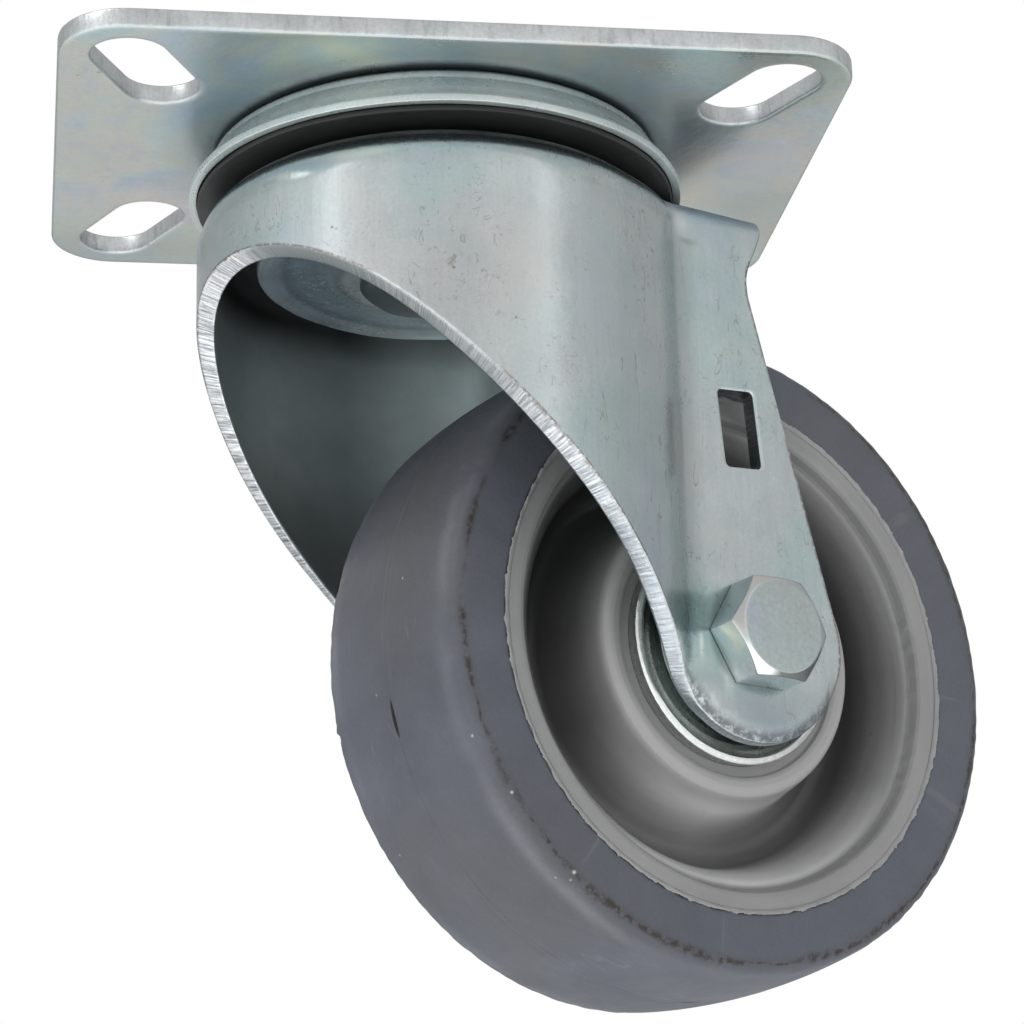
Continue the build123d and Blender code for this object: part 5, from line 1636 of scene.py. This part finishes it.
def ball_steel(name):
    m = Mat(name, Metallic=1.0)
    n = m.noise(m.pos, 300.0, 3.0, 0.6, 0.0, 1.0)
    m.color(m.ramp(n, [(0.3, (0.46, 0.47, 0.48)), (0.7, (0.62, 0.62, 0.62))]))
    m.rough(m.ramp(m.noise(m.pos, 700.0, 2.0, 0.5, 0.0, 2.0), [(0.3, 0.08), (0.7, 0.20)]))
    m.normal(m.bump(m.noise(m.pos, 1500.0, 2.0, 0.5, 0.0, 3.0), 0.04, 0.0001))
    return m


def nylon_ring(name):
    m = Mat(name)
    n = m.noise(m.pos, 600.0, 3.0, 0.6, 0.0, 1.0)
    m.color(m.ramp(n, [(0.3, (0.055, 0.12, 0.30)), (0.7, (0.075, 0.16, 0.36))]))
    m.rough(m.ramp(m.noise(m.pos, 300.0, 2.0, 0.5, 0.0, 2.0), [(0.3, 0.38), (0.7, 0.52)]))
    m.normal(m.bump(n, 0.1, 0.0003))
    return m


def set_mats(ob, *mats):
    me = ob.data
    while len(me.materials) < len(mats):
        me.materials.append(None)
    for i, mt in enumerate(mats):
        me.materials[i] = mt.m
    for i in range(len(mats), len(me.materials)):
        me.materials[i] = mats[0].m


# ------------------------------------------------------------------ build
zinc_fork = fork_zinc("zinc_fork_sheet")
zinc_edge = fork_edge("zinc_fork_cut_edge")
zinc_plate = zinc("zinc_top_plate", tint=(0.578, 0.620, 0.634), rough=0.31, streak=0.30, stain=0.6, spots=0.5, seed=20.0, extra=plate_patches)
plate_edge = cut_edge("zinc_plate_edge", None, (0.66, 0.68, 0.69))
zinc_cup = polished_turned("zinc_upper_race", (0.79, 0.865, 0.86), "z", 0.27, 30.0, line=0.02, wear_k=0.0, metallic=0.62, extra=cup_contact_shade)
zinc_bolt = zinc("zinc_axle_bolt", tint=(0.555, 0.590, 0.595), rough=0.17, streak=0.0, stain=0.25, spots=0.3, seed=40.0, extra=bolt_tints_and_reflections)
zinc_pin = zinc("zinc_king_pin", tint=(0.34, 0.37, 0.38), rough=0.34, streak=0.0, stain=0.6, spots=0.6, seed=50.0)
zinc_bearing = polished_turned("zinc_wheel_bearing", (0.70, 0.72, 0.71), "a", 0.25, 60.0)
zinc_cover = polished_turned("zinc_bearing_cover", (0.40, 0.47, 0.45), "a", 0.25, 70.0)
m_disc = steel_disc("lower_race_steel")
m_seal = black_seal("seal_black")
m_tyre = rubber_tyre("tyre_grey_rubber")
m_hub = plastic_hub("hub_grey_plastic")
m_ball = ball_steel("ball_polished_steel")
m_nylon = nylon_ring("lock_ring_nylon")

fork_ob = build_fork()
set_mats(fork_ob, zinc_fork, zinc_edge)
plate_ob = build_plate()
set_mats(plate_ob, zinc_plate, plate_edge)
race_ob = build_upper_race()
set_mats(race_ob, zinc_cup)
seal_ob = build_dust_seal()
set_mats(seal_ob, m_seal)
disc_ob = build_lower_race()
set_mats(disc_ob, m_disc)
pin_ob = build_king_pin()
set_mats(pin_ob, zinc_pin)
cup_a = build_cup("bearing_cup_a_turned", 1, 71)
cup_b = build_cup("bearing_cup_b_turned", -1, 81)
cover_a = build_cover("bearing_cover_a_dished", 1)
cover_b = build_cover("bearing_cover_b_dished", -1)
for o in (cup_a, cup_b):
    set_mats(o, zinc_bearing)
for o in (cover_a, cover_b):
    set_mats(o, zinc_cover)
hub_ob = build_hub()
set_mats(hub_ob, m_hub)
flash_a = build_flash("hub_rim_flash_a", 1, 91)
flash_b = build_flash("hub_rim_flash_b", -1, 95)
for o in (flash_a, flash_b):
    set_mats(o, m_hub)
tyre_ob = build_tyre()
set_mats(tyre_ob, m_tyre)
bolt_ob = build_bolt()
set_mats(bolt_ob, zinc_bolt)
nut_ob = build_nut()
set_mats(nut_ob, zinc_bolt)

PIECES = [
    (plate_ob, "mount_body", "top_plate", "zinc_plate"),
    (race_ob, "mount_body", "upper_race", "zinc_cup"),
    (disc_ob, "mount_body", "lower_race", "zinc_lower"),
    (pin_ob, "mount_body", "king_pin", "zinc_lower"),
    (fork_ob, "fork_body", "fork", "zinc_fork"),
    (bolt_ob, "fork_body", "axle_bolt", "zinc_bolt"),
    (nut_ob, "fork_body", "lock_nut", "zinc_bolt"),
    (cup_a, "wheel_body", "bearing_cup_a", "zinc_bearing"),
    (cup_b, "wheel_body", "bearing_cup_b", "zinc_bearing"),
    (hub_ob, "wheel_body", "hub", "hub_plastic"),
    (tyre_ob, "wheel_body", "tyre", "tyre_rubber"),
    (flash_a, "wheel_body", None, "hub_plastic"),
    (flash_b, "wheel_body", None, "hub_plastic"),
]
bodies_of_node = {}
for b in ("mount_body", "fork_body", "wheel_body"):
    for n, o in frame["nodes"].items():
        if o.parent == frame["bodies"][b]:
            bodies_of_node[n] = b
PIECES.append((seal_ob, bodies_of_node["dust_seal"], "dust_seal", "seal"))
PIECES.append((cover_a, bodies_of_node["bearing_cover_a"], "bearing_cover_a", "zinc_bearing"))
PIECES.append((cover_b, bodies_of_node["bearing_cover_b"], "bearing_cover_b", "zinc_bearing"))
for ob, body, node, slot in PIECES:
    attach(ob, body)
    if node:
        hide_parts(node)

for n, mt in (("upper_balls", m_ball), ("lower_balls", m_ball), ("wheel_balls_a", m_ball), ("wheel_balls_b", m_ball),
              ("bearing_cone_a", zinc_bearing), ("bearing_cone_b", zinc_bearing), ("axle_sleeve", zinc_bearing),
              ("lock_ring", m_nylon)):
    set_mats(frame["nodes"][n], mt)

# ------------------------------------------------------------------ camera
RIGHT = Vector((0.99035141, -0.13650523, -0.02388319))
DOWN = Vector((0.02129116, 0.32017773, -0.94711821))
FORWARD = Vector((0.13693345, 0.93747136, 0.31999482))
cam_data = bpy.data.cameras.new("camera")
cam = bpy.data.objects.new("camera", cam_data)
bpy.context.scene.collection.objects.link(cam)
cam_data.sensor_fit = "HORIZONTAL"
cam_data.sensor_width = 36.0
cam_data.lens = 3479.217 / 1024.0 * 36.0
cam_data.shift_x = 0.00098
cam_data.shift_y = 0.00003
cam_data.clip_start = 0.05
cam_data.clip_end = 50.0
X, Y, Z = RIGHT, -DOWN, -FORWARD
cam.matrix_world = Matrix(((X.x, Y.x, Z.x, -0.059944), (X.y, Y.y, Z.y, -0.482284),
                           (X.z, Y.z, Z.z, -0.223385), (0, 0, 0, 1)))
bpy.context.scene.camera = cam

# ------------------------------------------------------------------ floor and light
# Radiance round the object, azimuth 0 towards the camera side (-Y), + to the right: two tall soft boxes left
# and right of the camera, a dim far side, and a pale floor that glows, its glow varying with direction to add light
# from below.
AZ_STEPS = [-180 + 20 * i for i in range(19)]
SKY = {
    75: (0.68, 0.70, 0.72, 0.74, 0.78, 0.81, 0.84, 0.85, 0.86, 0.87, 0.85, 0.84, 0.82, 0.79, 0.76, 0.72, 0.71, 0.70),
    45: (0.66, 0.66, 0.68, 0.72, 0.79, 0.86, 0.92, 0.90, 0.87, 0.84, 0.87, 0.88, 0.87, 0.80, 0.74, 0.69, 0.67, 0.66),
    18: (0.63, 0.59, 0.58, 0.64, 0.79, 1.00, 1.15, 1.07, 0.91, 0.84, 0.94, 1.05, 0.80, 0.68, 0.62, 0.56, 0.59, 0.64),
    -8: (0.57, 0.56, 0.56, 0.65, 0.93, 1.28, 1.47, 1.41, 1.27, 1.20, 1.29, 1.36, 1.15, 0.84, 0.60, 0.52, 0.54, 0.56),
    -35: (0.85, 0.90, 0.97, 1.05, 1.28, 1.45, 1.56, 1.44, 1.33, 1.24, 1.28, 1.28, 1.24, 1.08, 0.94, 0.82, 0.80, 0.81),
    -70: (1.24, 1.26, 1.28, 1.30, 1.32, 1.33, 1.35, 1.33, 1.31, 1.29, 1.28, 1.27, 1.25, 1.22, 1.19, 1.15, 1.18, 1.21),
}


LEVEL = 0.94
BOXES = [(-57.0, 5.0, 10.0, 42.0, 0.30), (-69.5, 11.0, 36.0, 74.0, 2.60), (47.0, 4.5, 8.0, 50.0, 0.18)]      # azimuth, half width, from, to, strength


def soft_box(mt, azf, el, az0, half, lo, hi, k):
    d = mt.math("DIVIDE", mt.math("SUBTRACT", mt.math("MULTIPLY", mt.math("SUBTRACT", azf, 0.5), 360.0), az0), half)
    g = mt.math("POWER", 2.718, mt.math("MULTIPLY", mt.math("MULTIPLY", d, d), -1.0))
    g = mt.math("MULTIPLY", g, mt.math("MULTIPLY", mt.smooth(el, lo - 8.0, lo + 8.0), mt.smooth(el, hi - 8.0, hi + 8.0, 1.0, 0.0)))
    return mt.math("MULTIPLY", g, k)


def sky_ring(mt, azf, el, peak=2.0):
    row = SKY[el] + (SKY[el][0],)
    return mt.ramp(azf, [((a + 180) / 360.0, v / peak) for a, v in zip(AZ_STEPS, row)], "B_SPLINE")


def azimuth(mt, x, y):
    return mt.math("ADD", mt.math("DIVIDE", mt.math("ARCTAN2", x, mt.math("MULTIPLY", y, -1.0)), 2 * math.pi), 0.5)


me = bpy.data.meshes.new("floor")
n = 96
R = 4.0
FLOOR_Z = -1.0
me.from_pydata([(R * math.cos(2 * math.pi * i / n), R * math.sin(2 * math.pi * i / n), FLOOR_Z) for i in range(n)], [], [tuple(range(n))])
floor = bpy.data.objects.new("floor", me)
bpy.context.scene.collection.objects.link(floor)
fm = Mat("floor_pale")
fm.color(fm.ramp(fm.noise(fm.pos, 2.0, 2.0, 0.5), [(0.3, (0.74, 0.74, 0.74)), (0.7, (0.78, 0.78, 0.78))]))
fm.b.inputs["Roughness"].default_value = 0.9
fx, fy, fz = fm.split(fm.pos)
faz = azimuth(fm, fx, fy)
rho = fm.math("SQRT", fm.math("ADD", fm.math("MULTIPLY", fx, fx), fm.math("MULTIPLY", fy, fy)))
elev = fm.math("MULTIPLY", fm.math("ARCTAN2", -0.94, rho), 180.0 / math.pi)
low = fm.mix(fm.math("DIVIDE", fm.math("ADD", elev, 70.0), 35.0, clamp=True), sky_ring(fm, faz, -70), sky_ring(fm, faz, -35))
low = fm.mix(fm.math("DIVIDE", fm.math("ADD", elev, 35.0), 27.0, clamp=True), low, sky_ring(fm, faz, -8))
# painted light: the floor glows though it is no lamp, its emission following the sky rings below the horizon
glow = fm.math("MAXIMUM", fm.math("SUBTRACT", fm.math("MULTIPLY", low, 2.0 * LEVEL), 0.62 * LEVEL), 0.0)
fm.b.inputs["Emission Color"].default_value = (1.0, 1.0, 1.0, 1.0)
fm.link(glow, fm.b.inputs["Emission Strength"])
floor.data.materials.append(fm.m)

world = bpy.data.worlds.new("studio")
bpy.context.scene.world = world
world.use_nodes = True
wt = world.node_tree
wt.nodes.clear()


class W(Mat):
    def __init__(self):
        self.t = wt
        tc = wt.nodes.new("ShaderNodeTexCoord")
        self.pos = tc.outputs["Generated"]


w = W()
dx, dy, dz = w.split(w.pos)
azf = azimuth(w, dx, dy)
el = w.math("MULTIPLY", w.math("ARCSINE", dz), 180.0 / math.pi)
env = w.mix(w.math("DIVIDE", w.math("ADD", el, 8.0), 26.0, clamp=True), sky_ring(w, azf, -8), sky_ring(w, azf, 18))
env = w.mix(w.math("DIVIDE", w.math("SUBTRACT", el, 18.0), 27.0, clamp=True), env, sky_ring(w, azf, 45))
env = w.mix(w.math("DIVIDE", w.math("SUBTRACT", el, 45.0), 30.0, clamp=True), env, sky_ring(w, azf, 75))
for box in BOXES:
    env = w.mix(1.0, env, w.combine(*[soft_box(w, azf, el, *box)] * 3), "ADD")
env = w.mix(1.0, env, (LEVEL, LEVEL, LEVEL), "MULTIPLY")
lp = wt.nodes.new("ShaderNodeLightPath")
col = w.mix(lp.outputs["Is Camera Ray"], env, (0.5, 0.5, 0.5))
bg = wt.nodes.new("ShaderNodeBackground")
wo = wt.nodes.new("ShaderNodeOutputWorld")
wt.links.new(col, bg.inputs["Color"])
bg.inputs["Strength"].default_value = 2.0
wt.links.new(bg.outputs[0], wo.inputs[0])

sc = bpy.context.scene
sc.view_settings.view_transform = "Standard"
sc.view_settings.look = "None"
sc.view_settings.exposure = 0.0
sc.view_settings.gamma = 0.87
